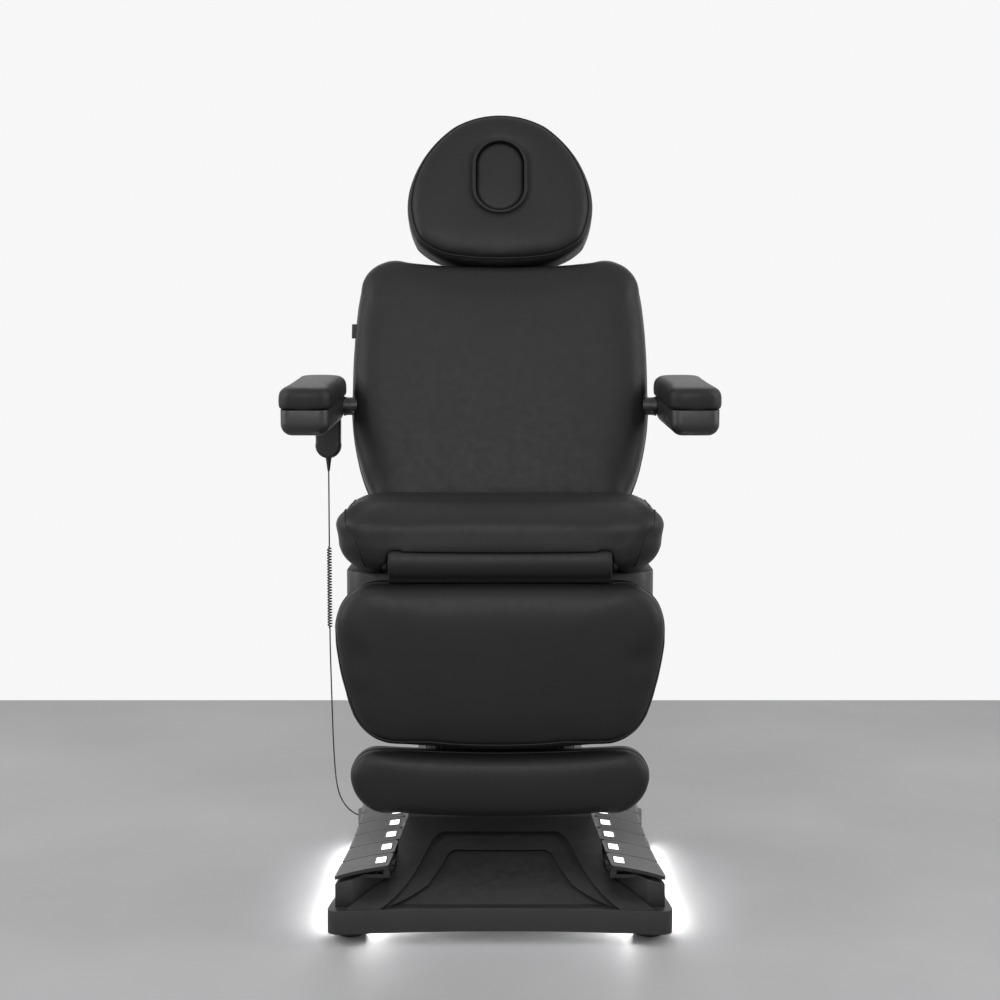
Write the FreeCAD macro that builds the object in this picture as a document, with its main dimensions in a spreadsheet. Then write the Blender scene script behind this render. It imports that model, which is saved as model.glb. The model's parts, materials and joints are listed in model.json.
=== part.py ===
import FreeCAD, Part
import math
import os

import Sketcher
from FreeCAD import Placement, Rotation, Vector

# Powered treatment chair on a floor base with a row of foot pedals down each side.
# Frame: +Z up, the sitter faces -Y, origin on the floor at the centre of the base. Millimetres.
doc = FreeCAD.newDocument("treatment_chair")
sheet = doc.addObject("Spreadsheet::Sheet", "Sizes")


# Driving sizes

class Size:
    """A length that knows both its value and the formula that gives it."""

    def __init__(self, value, text):
        self.value = float(value)
        self.text = text

    def joined(self, other, sign, value):
        return Size(value, "(%s %s %s)" % (self.text, sign, other.text))

    def __add__(self, other):
        other = as_size(other)
        return self.joined(other, "+", self.value + other.value)

    def __sub__(self, other):
        other = as_size(other)
        return self.joined(other, "-", self.value - other.value)

    def __mul__(self, other):
        other = as_size(other)
        return self.joined(other, "*", self.value * other.value)

    def __truediv__(self, other):
        other = as_size(other)
        return self.joined(other, "/", self.value / other.value)

    def __radd__(self, other):
        return as_size(other) + self

    def __rsub__(self, other):
        return as_size(other) - self

    def __rmul__(self, other):
        return as_size(other) * self

    def __neg__(self):
        return Size(-self.value, "(-%s)" % self.text)

    def __float__(self):
        return self.value


def as_size(value):
    return value if isinstance(value, Size) else Size(value, repr(float(value)))


class Sizes:
    """The sheet's cells by name; each is written once, here."""

    count = 0

    def add(self, **cells):
        for alias, value in cells.items():
            self.count += 1
            sheet.set("A%d" % self.count, alias.replace("_", " "))
            sheet.set("B%d" % self.count, str(value))
            sheet.setAlias("B%d" % self.count, alias)
            setattr(self, alias, Size(value, "Sizes." + alias))


d = Sizes()

# General
d.add(seat_gap=0.3, run_clear=0.05, slide_clear=0.4, move_clear=2, sheet_steel=6, plate_steel=8)
# Base
d.add(base_corner_x=299, base_side_x=321, base_waist_x=300, base_front_y=370, base_front_dip=20,
      base_corner_cut=22, skirt_bottom=23, skirt_top=67, shell_wall=4, floor_gap=34, frame_tube=26,
      foot_x=282, foot_y=288, foot_radius=29, foot_height=14, foot_stem_radius=10)
d.add(knee_y=150, knee_z=186, knee_x=181, tower_top=300, tower_x=166, tower_y=134, ridge_x=212, ridge_z=121,
      notch_front_x=237, notch_front_y=310, notch_x=199, notch_y=268, notch_mid_x=191, notch_corner_y=371,
      recess_step=8, recess_x=224, recess_shoulder_x=160, recess_shoulder_z=115, recess_crown_x=136,
      recess_crown_z=148, recess_bend_x=124, recess_bend_z=160, recess_top_x=97, recess_top_z=166,
      recess_inset=27)
# Pedals
d.add(pedal_count=8, pedal_pitch=85.5, pedal_gap=3.5, pedal_out_end=310, pedal_out_mid=291,
      pedal_in_end=208, pedal_in_mid=195, pedal_ref_x=208, pedal_ref_z=145, pedal_slope=6, pedal_bow=0.00108,
      pedal_thick=7, pedal_corner=9, hinge_rod_drop=14, hinge_rod_radius=2.5,
      barrel_radius=5.5, barrel_inner=24, barrel_outer=36, light_size=16, light_inset=19, pedal_pin_inset=7,
      light_recess=0.5, window_gap=1, tray_drop=14, web_half=4, ear_width=8, shelf_reach=50)
# Lift column
d.add(column_x=160, column_y=120, column_wall=6, column_top=420, inner_bottom=150, head_bottom=600,
      shroud_x=292, shroud_y=224, shroud_wall=3, shroud_bottom=160, shroud_corner=30, shroud_gap=4,
      tilt_z=625, tilt_radius=10, tilt_ear_x=70, tilt_block_x=90, tilt_block=18)
# Seat
d.add(board_bottom=664, board_top=676, cover_x=299, cover_front=195, cover_rear=140, cover_bottom=575,
      cover_corner=60, cover_wall=4, rail_x=185, rail_width=40, rail_drop=24,
      rail_front=150, rail_rear=110, cover_top=675, seat_x=310, seat_front=285, seat_rear=60,
      seat_thick=133, seat_under=60, seat_over=46, hinge_pin_radius=8)
# Leg rest and foot rest
d.add(leg_pivot_y=247, leg_pivot_z=702, drum_radius=36, drum_half=203, core_radius=15, notch_clear=1.5,
      leg_bracket_x=214, leg_arm_x=204, leg_front=299, leg_depth=80, leg_top=663, leg_bottom=359,
      leg_wide_x=305, leg_wide_z=581,
      foot_top=345, foot_bottom=221, foot_half=281, foot_thinner=4, foot_rod_x=120, foot_rod_radius=8,
      guide_radius=13, guide_low=37, guide_high=137, foot_rod_top=190, plate_inset=22)
# Backrest
d.add(back_slope=17, back_y=82, back_z=752, back_length=573, back_thick=95, back_wide_x=309,
      back_wide_w=300, back_dip=18, back_pivot_y=118, back_pivot_z=712,
      back_bracket_x=160, back_arm_x=170, back_board=12, back_board_x=185, back_board_low=50,
      back_board_high=505,
      back_shell_depth=48, back_shell_wall=3, back_shell_inset=22)
# Headrest
d.add(head_x=202, head_length=342, head_thick=88, head_board=12, head_board_inset=26,
      hole_x=53, hole_half=80, hole_up=190, plug_gap=0.5, plug_sunk=2, plug_round=8,
      head_rod_x=60, head_rod_radius=7, head_rod_low=375,
      head_guide_low=405, head_shaft_radius=6, head_shaft_rise=8, head_ear_up=70)
# Arms and handset
d.add(arm_in=330, arm_out=431, arm_front=142, arm_rear=222, arm_bottom=935, arm_split=984, arm_rise=23,
      arm_pad=43, shell_inset=3, arm_axis_y=192, arm_axis_z=984, spindle_radius=17, arm_heel=14,
      hub_radius=26, hub_depth=40, arm_corner=22, handset_x=371, handset_width=55,
      handset_depth=26, handset_top=1030, handset_bottom=870, relief_bottom=842)
# Cord
d.add(gland_x=262, gland_z=40, gland_end=387, gland_radius=6, cord_y=240, cord_radius=1.5, curl_radius=4.2,
      curl_turns=30, curl_top=680, curl_bottom=497)
doc.recompute()


def num(value):
    return float(value)


def point(x, y, z):
    return Vector(num(x), num(y), num(z))


# Building blocks

nodes = {}


def node(label, obj):
    """Name a finished sub-part."""
    obj.Label = label
    nodes[label] = obj
    return obj


def bind(obj, prop, value):
    obj.setExpression(prop, as_size(value).text)


def place(obj, x, y, z, rotation=None):
    obj.Placement = Placement(point(x, y, z), rotation or Rotation())
    for axis, value in zip("xyz", (x, y, z)):
        bind(obj, "Placement.Base." + axis, value)


def box(name, x, y, z):
    """A block between low and high values along each axis."""
    obj = doc.addObject("Part::Box", name)
    for prop, (low, high) in zip(("Length", "Width", "Height"), (x, y, z)):
        bind(obj, prop, as_size(high) - low)
    place(obj, x[0], y[0], z[0])
    return obj


AXES = {"x": Vector(1, 0, 0), "y": Vector(0, 1, 0), "z": Vector(0, 0, 1)}


def rod(name, axis, centre, radius, low, high):
    """A cylinder along an axis; centre holds its other two coordinates in order."""
    obj = doc.addObject("Part::Cylinder", name)
    bind(obj, "Radius", radius)
    bind(obj, "Height", as_size(high) - low)
    base = list(centre)
    base.insert("xyz".index(axis), low)
    place(obj, *base, rotation=Rotation(Vector(0, 0, 1), AXES[axis]))
    return obj


def fuse(name, *pieces):
    obj = doc.addObject("Part::MultiFuse", name)
    obj.Shapes = list(pieces)
    obj.Refine = True
    return obj


def common(name, first, second):
    obj = doc.addObject("Part::Common", name)
    obj.Base = first
    obj.Tool = second
    return obj


def cut(name, base, *tools):
    obj = doc.addObject("Part::Cut", name)
    obj.Base = base
    obj.Tool = tools[0] if len(tools) == 1 else fuse(name + "_tools", *tools)
    obj.Refine = True
    return obj


def mirrored(name, source):
    """The same piece on the other side of the plane x = 0."""
    obj = doc.addObject("Part::Mirroring", name)
    obj.Source = source
    obj.Normal = Vector(1, 0, 0)
    return obj


def both(name, source):
    """A piece and its mirror image, as separate solids of one sub-part."""
    obj = doc.addObject("Part::Compound", name)
    obj.Links = [source, mirrored(name + "_other", source)]
    return obj


def group(name, *pieces):
    obj = doc.addObject("Part::Compound", name)
    obj.Links = list(pieces)
    return obj


PLANES = {
    "xy": Rotation(),
    "xz": Rotation(Vector(1, 0, 0), 90),
    "yz": Rotation(Vector(1, 1, 1), 120),
}


def sketch(name, plane, outline):
    """A closed outline. Each entry is a corner (u, v), or a corner and the point that an arc
    passes through on its way there: (u, v, via_u, via_v). Every point is bound to the sheet."""
    obj = doc.addObject("Sketcher::SketchObject", name)
    obj.Placement = Placement(Vector(), PLANES[plane])
    corners = [Vector(num(p[0]), num(p[1]), 0) for p in outline]
    for i, entry in enumerate(outline):
        start = corners[i - 1]
        if len(entry) == 2:
            obj.addGeometry(Part.LineSegment(start, corners[i]))
        else:
            via = Vector(num(entry[2]), num(entry[3]), 0)
            obj.addGeometry(Part.Arc(start, via, corners[i]))
    for i, entry in enumerate(outline):
        last = end_of(obj, i, corners[i])
        first = end_of(obj, (i + 1) % len(outline), corners[i])
        obj.addConstraint(Sketcher.Constraint("Coincident", i, last, (i + 1) % len(outline), first))
        bind_point(obj, i, last, entry[0], entry[1])
        if len(entry) == 4:
            via = obj.addGeometry(Part.Point(Vector(num(entry[2]), num(entry[3]), 0)), True)
            bind_point(obj, via, 1, entry[2], entry[3])
            obj.addConstraint(Sketcher.Constraint("PointOnObject", via, 1, i))
    return obj


def end_of(obj, index, corner):
    """Which end of a sketch edge, 1 or 2, lies at a corner."""
    return 1 if obj.getPoint(index, 1).distanceToPoint(corner) < 1e-6 else 2


def bind_point(obj, index, end, u, v):
    for kind, value in (("DistanceX", u), ("DistanceY", v)):
        number = obj.addConstraint(Sketcher.Constraint(kind, -1, 1, index, end, num(value)))
        bind(obj, "Constraints[%d]" % number, value)


def extrude(name, plane, outline, low, high):
    """An outline drawn out square to its plane between two values."""
    base = sketch(name + "_outline", plane, outline)
    obj = doc.addObject("Part::Extrusion", name)
    normal = {"xy": Vector(0, 0, 1), "xz": Vector(0, -1, 0), "yz": Vector(1, 0, 0)}[plane]
    obj.Base = base
    obj.DirMode = "Custom"
    obj.Dir = normal
    obj.Solid = True
    forward, back = (-as_size(low), high) if plane == "xz" else (high, -as_size(low))
    bind(obj, "LengthFwd", forward)
    bind(obj, "LengthRev", back)
    return obj


def soften(name, source, radius, wanted):
    """Round the edges that wanted(edge) picks."""
    doc.recompute()
    obj = doc.addObject("Part::Fillet", name)
    obj.Base = source
    picked = [i for i, edge in enumerate(source.Shape.Edges, start=1) if wanted(edge)]
    obj.Edges = [(i, num(radius), num(radius)) for i in picked]
    return obj


def runs_along(edge, axis):
    """Whether an edge is straight and parallel to an axis."""
    first, last = edge.Vertexes[0].Point, edge.Vertexes[-1].Point
    return len(edge.Vertexes) == 2 and (last - first).cross(AXES[axis]).Length < 1e-6 * max(1, edge.Length)


def feature(name, shape, placement=None):
    """A form worked out point by point from the sheet's values."""
    obj = doc.addObject("Part::Feature", name)
    obj.Shape = shape
    if placement:
        obj.Placement = placement
    return obj


# Base: a floor frame on levelling feet under a moulded cover

frame_top = d.floor_gap + d.frame_tube
slope_start = d.base_front_y - 10


def skirt_outline(inset):
    """Plan of the base: hollow front and rear edges, waisted sides and round corners."""
    cx, sx = d.base_corner_x - inset, d.base_side_x - inset
    fy, waist = d.base_front_y - inset, d.base_waist_x - inset
    side_y, dip_y = fy - d.base_corner_cut, fy - d.base_front_dip
    bulge = d.base_corner_cut * (1 - math.sqrt(0.5))
    bend_x, bend_y = sx - bulge, fy - bulge
    return [(-cx, -fy, -bend_x, -bend_y), (cx, -fy, 0, -dip_y), (sx, -side_y, bend_x, -bend_y),
            (sx, side_y, waist, 0), (cx, fy, bend_x, bend_y), (-cx, fy, 0, dip_y),
            (-sx, side_y, -bend_x, bend_y), (-sx, -side_y, -waist, 0)]


def slope_profile(setback):
    """Side view of the base: skirt, long front and rear slopes, and the tower."""
    toe, knee = slope_start - setback, d.knee_y - setback
    half = [(toe, d.skirt_top), (knee, d.knee_z), (d.tower_y - setback, d.tower_top + 1)]
    front = [(-y, z) for y, z in half]
    end = d.base_front_y + 1
    return [(-end, d.skirt_bottom), (-end, d.skirt_top)] + front + half[::-1] + [
        (end, d.skirt_top), (end, d.skirt_bottom)]


def flank_profile():
    """Front view of the base: upright over the pedals, then drawn in to the tower."""
    wide = d.base_side_x + 20
    half = [(wide, 0), (wide, d.ridge_z), (d.ridge_x, d.ridge_z), (d.knee_x, d.knee_z),
            (d.tower_x, d.tower_top)]
    return half + [(-x, z) for x, z in half[::-1]]


def notch_outline():
    """Plan of the bay beside the tower that takes one row of pedals."""
    wide = d.base_side_x + 30
    bend_x, bend_y = (d.notch_front_x + d.notch_x) / 2 - 5, (d.notch_front_y + d.notch_y) / 2
    corner_x, corner_y = d.base_corner_x, d.notch_corner_y
    front_x, front_y = d.notch_front_x, d.notch_front_y
    return [(wide, -corner_y), (corner_x, -corner_y), (front_x, -front_y),
            (d.notch_x, -d.notch_y, bend_x, -bend_y), (d.notch_x, d.notch_y, d.notch_mid_x, 0),
            (front_x, front_y, bend_x, bend_y), (corner_x, corner_y), (wide, corner_y)]


def recess_outline(inset):
    """Front view of a step of the front recess: flared foot, ogee sides and a rounded crown."""
    foot_x = d.recess_x - inset / 2
    shoulder_x, shoulder_z = d.recess_shoulder_x - inset * 0.9, d.recess_shoulder_z - inset * 0.75
    crown_x, crown_z = d.recess_crown_x - inset, d.recess_crown_z - inset
    top_x, top_z = d.recess_top_x - inset * 0.75, d.recess_top_z - inset
    flare_x, flare_z = (foot_x + shoulder_x) / 2 - 7, (d.skirt_top + shoulder_z) / 2
    bend_x, bend_z = d.recess_bend_x - inset * 0.9, d.recess_bend_z - inset
    return [(foot_x, d.skirt_top), (shoulder_x, shoulder_z, flare_x, flare_z), (crown_x, crown_z),
            (top_x, top_z, bend_x, bend_z), (-top_x, top_z), (-crown_x, crown_z, -bend_x, bend_z),
            (-shoulder_x, shoulder_z), (-foot_x, d.skirt_top, -flare_x, flare_z)]


def recess_step(name, inset, setback):
    """One step of the recess: its outline, as deep as the slope moved back by the setback."""
    mouth = extrude(name + "_mouth", "xz", recess_outline(inset), -d.base_front_y - 5, 0)
    floor = extrude(name + "_floor", "yz", slope_profile(setback), -d.base_side_x, d.base_side_x)
    return cut(name, mouth, floor)


def base_cover():
    plan = extrude("cover_plan", "xy", skirt_outline(as_size(0)), d.skirt_bottom, d.tower_top)
    slopes = extrude("cover_slopes", "yz", slope_profile(as_size(0)), -d.base_side_x - 5, d.base_side_x + 5)
    flanks = extrude("cover_flanks", "xz", flank_profile(), -d.base_front_y - 5, d.base_front_y + 5)
    form = common("cover_form", common("cover_sides", plan, slopes), flanks)
    bay = extrude("pedal_bay", "xy", notch_outline(), d.skirt_top, d.tower_top + 5)
    setback = d.recess_step * 2
    hollow = extrude("skirt_hollow", "xy", skirt_outline(d.shell_wall + 2), d.skirt_bottom - 1, frame_top)
    toe = slope_start - setback * 3
    wall_y = d.shroud_y / 2 + d.shroud_gap * 2
    half = [(toe, d.floor_gap), (toe, frame_top), (wall_y, d.recess_top_z),
            (wall_y, d.tower_top - d.shell_wall * 2)]
    side_x = d.tower_x - d.shell_wall * 2
    tower_hollow = extrude("tower_hollow", "yz", [(-y, z) for y, z in half] + half[::-1], -side_x, side_x)
    mouth_x, mouth_y = d.shroud_x / 2 + d.shroud_gap, d.shroud_y / 2 + d.shroud_gap
    mouth = box("tower_mouth", (-mouth_x, mouth_x), (-mouth_y, mouth_y), (d.tower_top - 20, d.tower_top + 5))
    inlet = box("inlet_mouth", (-inlet_x, inlet_x), (inlet_wall - 30, d.base_front_y),
                (inlet_low, inlet_high))
    gland_hole = rod("gland_hole", "y", (-d.gland_x, d.gland_z), d.gland_radius + d.seat_gap,
                     d.base_front_y - 30, d.base_front_y + 5)
    return node("base_cover", cut("base_cover_shell", form, bay, mirrored("pedal_bay_other", bay),
                                  recess_step("recess_upper", as_size(0), setback),
                                  recess_step("recess_lower", d.recess_inset, setback * 2),
                                  hollow, tower_hollow, mouth, inlet, gland_hole))


# The appliance inlet sits in a square bay low in the rear of the cover
inlet_x = as_size(26)
inlet_low, inlet_high = d.skirt_top + 15, d.skirt_top + 47
inlet_wall = slope_start - 95


def base_frame():
    beam_x, beam_y = d.base_corner_x - 6, d.foot_y + 14
    beam = (beam_y - 36, beam_y)
    rail_x = (d.base_waist_x - 64, d.base_waist_x - 28)
    depth = (d.floor_gap, frame_top)
    front = box("frame_front", (-beam_x, beam_x), (-beam[1], -beam[0]), depth)
    rear = box("frame_rear", (-beam_x, beam_x), beam, depth)
    rail = box("frame_rail", rail_x, (-beam[0] - 1, beam[0] + 1), depth)
    plate_y = d.column_y / 2 + 60
    plate = box("frame_plate", (-rail_x[0] - 1, rail_x[0] + 1), (-plate_y, plate_y),
                (frame_top - d.plate_steel, frame_top))
    other = mirrored("frame_rail_other", rail)
    return node("base_frame", fuse("frame_weldment", front, rear, rail, other, plate))


def levelling_feet():
    feet = []
    for number, (side, end) in enumerate(((-1, -1), (1, -1), (-1, 1), (1, 1))):
        centre = (d.foot_x * side, d.foot_y * end)
        pad = rod("foot_pad_%d" % number, "z", centre, d.foot_radius, 0, d.foot_height)
        stem = rod("foot_stem_%d" % number, "z", centre, d.foot_stem_radius, d.foot_height - 1, d.floor_gap)
        feet.append(soften("foot_%d" % number, fuse("foot_joined_%d" % number, pad, stem), d.foot_height / 4,
                           lambda edge: edge.BoundBox.ZMax < 1))
    return node("levelling_feet", group("feet_group", *feet))


def underglow_strips():
    x = (d.base_waist_x - 38, d.base_waist_x - 14)
    strip = box("glow_strip", x, (-250, 250), (d.skirt_bottom, d.floor_gap))
    return node("underglow_strips", both("glow_pair", strip))


# Pedals: eight rocking plates a side on short pins, over a tray with light blocks

slope = math.tan(math.radians(num(d.pedal_slope)))
row_half = d.pedal_pitch * d.pedal_count / 2


def waisted(middle, end, y):
    """A line that bows in from its ends to the middle of the row."""
    return middle + (end - middle) * (y / row_half) * (y / row_half)


def pedal_top(x):
    """Height of a pedal's face, which slopes away and bows down towards the side of the base."""
    out = x - d.pedal_ref_x
    return d.pedal_ref_z - out * slope - out * out * d.pedal_bow


def pedal_middle(index):
    return (index + 0.5) * d.pedal_pitch - row_half


def pedal_pin(index):
    """Place of a pedal's pin, near the pedal's inner end: x and z."""
    x = waisted(d.pedal_in_mid, d.pedal_in_end, pedal_middle(index)) + d.pedal_pin_inset
    return x, pedal_top(x) - d.hinge_rod_drop


def light_place(index):
    y = pedal_middle(index)
    return waisted(d.pedal_in_mid, d.pedal_in_end, y) + d.light_inset, y


def light_well(name, index, half, low):
    """A square shaft over a pedal's light, from a level up past the pedal's face."""
    x, y = light_place(index)
    return box(name, (x - half, x + half), (y - half, y + half), (low, d.pedal_ref_z + d.tray_drop))


def pedal(index, slab):
    y = pedal_middle(index)
    low, high = y - d.pedal_pitch / 2 + d.pedal_gap / 2, y + d.pedal_pitch / 2 - d.pedal_gap / 2
    inner = [(waisted(d.pedal_in_mid, d.pedal_in_end, end), end) for end in (low, high)]
    outer = [(waisted(d.pedal_out_mid, d.pedal_out_end, end), end) for end in (low, high)]
    outline = [inner[0], outer[0], outer[1], inner[1]]
    name = "pedal_%d" % (index + 1)
    prism = extrude(name + "_prism", "xy", outline, d.skirt_top, d.pedal_ref_z + 30)
    plan = soften(name + "_plan", prism, d.pedal_corner, lambda edge: runs_along(edge, "z"))
    pieces = [common(name + "_plate", slab, plan)]
    x, z = pedal_pin(index)
    spans = {"rear": (y + d.barrel_inner, y + d.barrel_outer),
             "front": (y - d.barrel_outer, y - d.barrel_inner)}
    for side, span in spans.items():
        pieces.append(rod(name + "_barrel_" + side, "y", (x, z), d.barrel_radius, *span))
        pieces.append(box(name + "_web_" + side, (x - d.web_half, x + d.web_half), span,
                          (z, z + d.hinge_rod_drop - d.pedal_thick / 2)))
    window = light_well(name + "_window", index, d.light_size / 2 + d.window_gap, d.skirt_top)
    bore = rod(name + "_bore", "y", (x, z), d.hinge_rod_radius + d.run_clear, low - 1, high + 1)
    body = fuse(name + "_body", *pieces)
    right = node("pedal_right_%d" % (index + 1), cut(name + "_cut", body, window, bore))
    node("pedal_left_%d" % (index + 1), mirrored(name + "_mirror", right))


def pedal_slab():
    """The sloping layer that all the pedal plates are cut from."""
    near, far = d.pedal_in_mid - 20, d.pedal_out_end + 20
    middle = (near + far) / 2
    crown, drop = pedal_top(middle), d.pedal_thick
    return extrude("pedal_slab", "xz", [
        (near, pedal_top(near) - drop), (far, pedal_top(far) - drop, middle, crown - drop),
        (far, pedal_top(far)), (near, pedal_top(near), middle, crown)], -row_half, row_half)


def pedal_tray():
    gap = d.move_clear
    bend_x, bend_y = (d.notch_front_x + d.notch_x) / 2 - 5 + gap, (d.notch_front_y + d.notch_y) / 2 - gap
    front_x = d.notch_front_x + (row_half - d.notch_front_y) + gap * 2
    out, waist = d.pedal_out_end - 3, d.pedal_out_mid - 3
    near_x, near_y, inner_x = d.notch_front_x + gap, d.notch_front_y - gap, d.notch_x + gap
    outline = [(out, -row_half, waist, 0), (front_x, -row_half), (near_x, -near_y),
               (inner_x, -d.notch_y, bend_x, -bend_y), (inner_x, d.notch_y, d.notch_mid_x + gap, 0),
               (near_x, near_y, bend_x, bend_y), (front_x, row_half), (out, row_half)]
    block = extrude("tray_block", "xy", outline, d.skirt_top, d.pedal_ref_z + 10)
    near, far = d.pedal_in_mid - 20, d.base_side_x + 20
    middle, over, drop = (near + far) / 2, d.pedal_ref_z + 40, d.tray_drop
    above = extrude("tray_above", "xz", [
        (near, pedal_top(near) - drop), (far, pedal_top(far) - drop, middle, pedal_top(middle) - drop),
        (far, over), (near, over)], -row_half - 5, row_half + 5)
    pockets, ears, bores = [], [], []
    for index in range(int(num(d.pedal_count))):
        y = pedal_middle(index)
        x, z = pedal_pin(index)
        well = d.barrel_radius + d.move_clear
        reach = d.barrel_outer + d.move_clear
        pockets.append(box("tray_well_%d" % index, (x - well * 2, x + well), (y - reach, y + reach),
                           (z - well, z + 40)))
        pockets.append(light_well("tray_seat_%d" % index, index, d.light_size / 2 + d.seat_gap, z - well))
        for side in (-1, 1):
            far = d.barrel_inner - d.move_clear
            near = far - d.ear_width
            span = (y + near, y + far) if side > 0 else (y - far, y - near)
            stand = (x - d.barrel_radius, x + d.barrel_radius)
            ears.append(box("tray_ear_%d_%d" % (index, side), stand, span,
                            (z - well - 1, z + d.barrel_radius - 1)))
        if index in (0, int(num(d.pedal_count)) - 1):
            ears.append(box("tray_shelf_%d" % index, (x - d.barrel_radius, x + d.shelf_reach),
                            (y - d.barrel_inner, y + d.barrel_inner), (z - well - d.pedal_thick, z - well)))
        bores.append(rod("tray_bore_%d" % index, "y", (x, z), d.hinge_rod_radius + d.run_clear,
                         y - d.barrel_inner, y + d.barrel_inner))
    tray = cut("tray_top", block, above, *pockets)
    right = node("pedal_tray_right", cut("tray_bored", fuse("tray_eared", tray, *ears), *bores))
    node("pedal_tray_left", mirrored("tray_mirror", right))


def pedal_lights():
    blocks = []
    for index in range(int(num(d.pedal_count))):
        foot = pedal_pin(index)[1] - d.barrel_radius - d.move_clear
        x, y = light_place(index)
        half = d.light_size / 2
        ends = (x - half, x + half)
        outline = [(end, foot) for end in ends]
        outline += [(end, pedal_top(end) - d.light_recess) for end in ends[::-1]]
        blocks.append(extrude("light_%d" % index, "xz", outline, y - half, y + half))
    return node("pedal_lights", both("light_pair", group("light_row", *blocks)))


def pedal_pins():
    pins = []
    for index in range(int(num(d.pedal_count))):
        y = pedal_middle(index)
        pins.append(rod("pin_%d" % index, "y", pedal_pin(index), d.hinge_rod_radius,
                        y - d.barrel_outer, y + d.barrel_outer))
    return node("pedal_pins", both("pin_pair", group("pin_row", *pins)))


# Lift: a square telescopic column behind a sliding shroud, with the tilt shaft on its head

head_top = d.head_bottom + d.plate_steel


def tube(name, half_x, half_y, wall, low, high):
    outer = box(name + "_outer", (-half_x, half_x), (-half_y, half_y), (low, high))
    inner_x, inner_y = half_x - wall, half_y - wall
    inner = box(name + "_inner", (-inner_x, inner_x), (-inner_y, inner_y), (as_size(low) - 1, high + 1))
    return cut(name, outer, inner)


def lift_column():
    outer_x, outer_y = d.column_x / 2, d.column_y / 2
    node("column_outer", tube("column_tube", outer_x, outer_y, d.column_wall, frame_top, d.column_top))
    step = d.column_wall + d.slide_clear
    node("column_inner", tube("column_ram", outer_x - step, outer_y - step, d.column_wall, d.inner_bottom,
                              d.head_bottom))


def lift_shroud():
    half_x, half_y = d.shroud_x / 2, d.shroud_y / 2
    block = box("shroud_block", (-half_x, half_x), (-half_y, half_y), (d.shroud_bottom, d.head_bottom))
    outer = soften("shroud_outer", block, d.shroud_corner, lambda edge: runs_along(edge, "z"))
    core_x, core_y = half_x - d.shroud_wall, half_y - d.shroud_wall
    core = box("shroud_core", (-core_x, core_x), (-core_y, core_y), (d.shroud_bottom - 1, d.head_bottom + 1))
    inner = soften("shroud_inner", core, d.shroud_corner - d.shroud_wall, lambda edge: runs_along(edge, "z"))
    return node("lift_shroud", cut("shroud_shell", outer, inner))


def lift_head():
    half_x, half_y = d.shroud_x / 2, d.shroud_y / 2
    slab = box("head_slab", (-half_x, half_x), (-half_y, half_y), (d.head_bottom, head_top))
    plate = soften("head_plate", slab, d.shroud_corner, lambda edge: runs_along(edge, "z"))
    ear_x = (d.tilt_ear_x, d.tilt_ear_x + d.sheet_steel * 2)
    ear = box("head_ear", ear_x, (-20, 20), (head_top - 1, d.tilt_z))
    crown = rod("head_crown", "x", (0, d.tilt_z), 20, *ear_x)
    reach = d.tilt_block_x + d.tilt_block + 4
    shaft = rod("tilt_shaft", "x", (0, d.tilt_z), d.tilt_radius, -reach, reach)
    return node("lift_head", fuse("head_weldment", plate, ear, crown, mirrored("head_ear_other", ear),
                                  mirrored("head_crown_other", crown), shaft))


def drives_below():
    """The lift motor beside the column's foot, and the tilt drive that hangs from the head."""
    can_x = d.column_x / 2 + 32
    can = rod("lift_can", "z", (-can_x, 0), 24, frame_top, frame_top + 110)
    gear = box("lift_gear", (-can_x - 24, -d.column_x / 2), (-26, 26), (frame_top, frame_top + 34))
    node("lift_motor", fuse("lift_unit", can, gear))
    body = rod("tilt_can", "z", (can_x, 0), 22, d.head_bottom - 150, d.head_bottom)
    sleeve = rod("tilt_sleeve", "z", (can_x, 0), 13, d.head_bottom - 230, d.head_bottom - 149)
    node("tilt_actuator", fuse("tilt_unit", body, sleeve))


# Seat: a board with rails, hinge ears and tilt bearings inside a moulded skirt

def pivot(which):
    """A hinge line across the chair: its y and z."""
    return {"leg": (-d.leg_pivot_y, d.leg_pivot_z), "back": (d.back_pivot_y, d.back_pivot_z)}[which]


def plan_block(name, half_x, low_y, high_y, corner, low, high):
    """A block with upright rounded corners."""
    block = box(name + "_block", (-half_x, half_x), (low_y, high_y), (low, high))
    return soften(name, block, corner, lambda edge: runs_along(edge, "z"))


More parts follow.
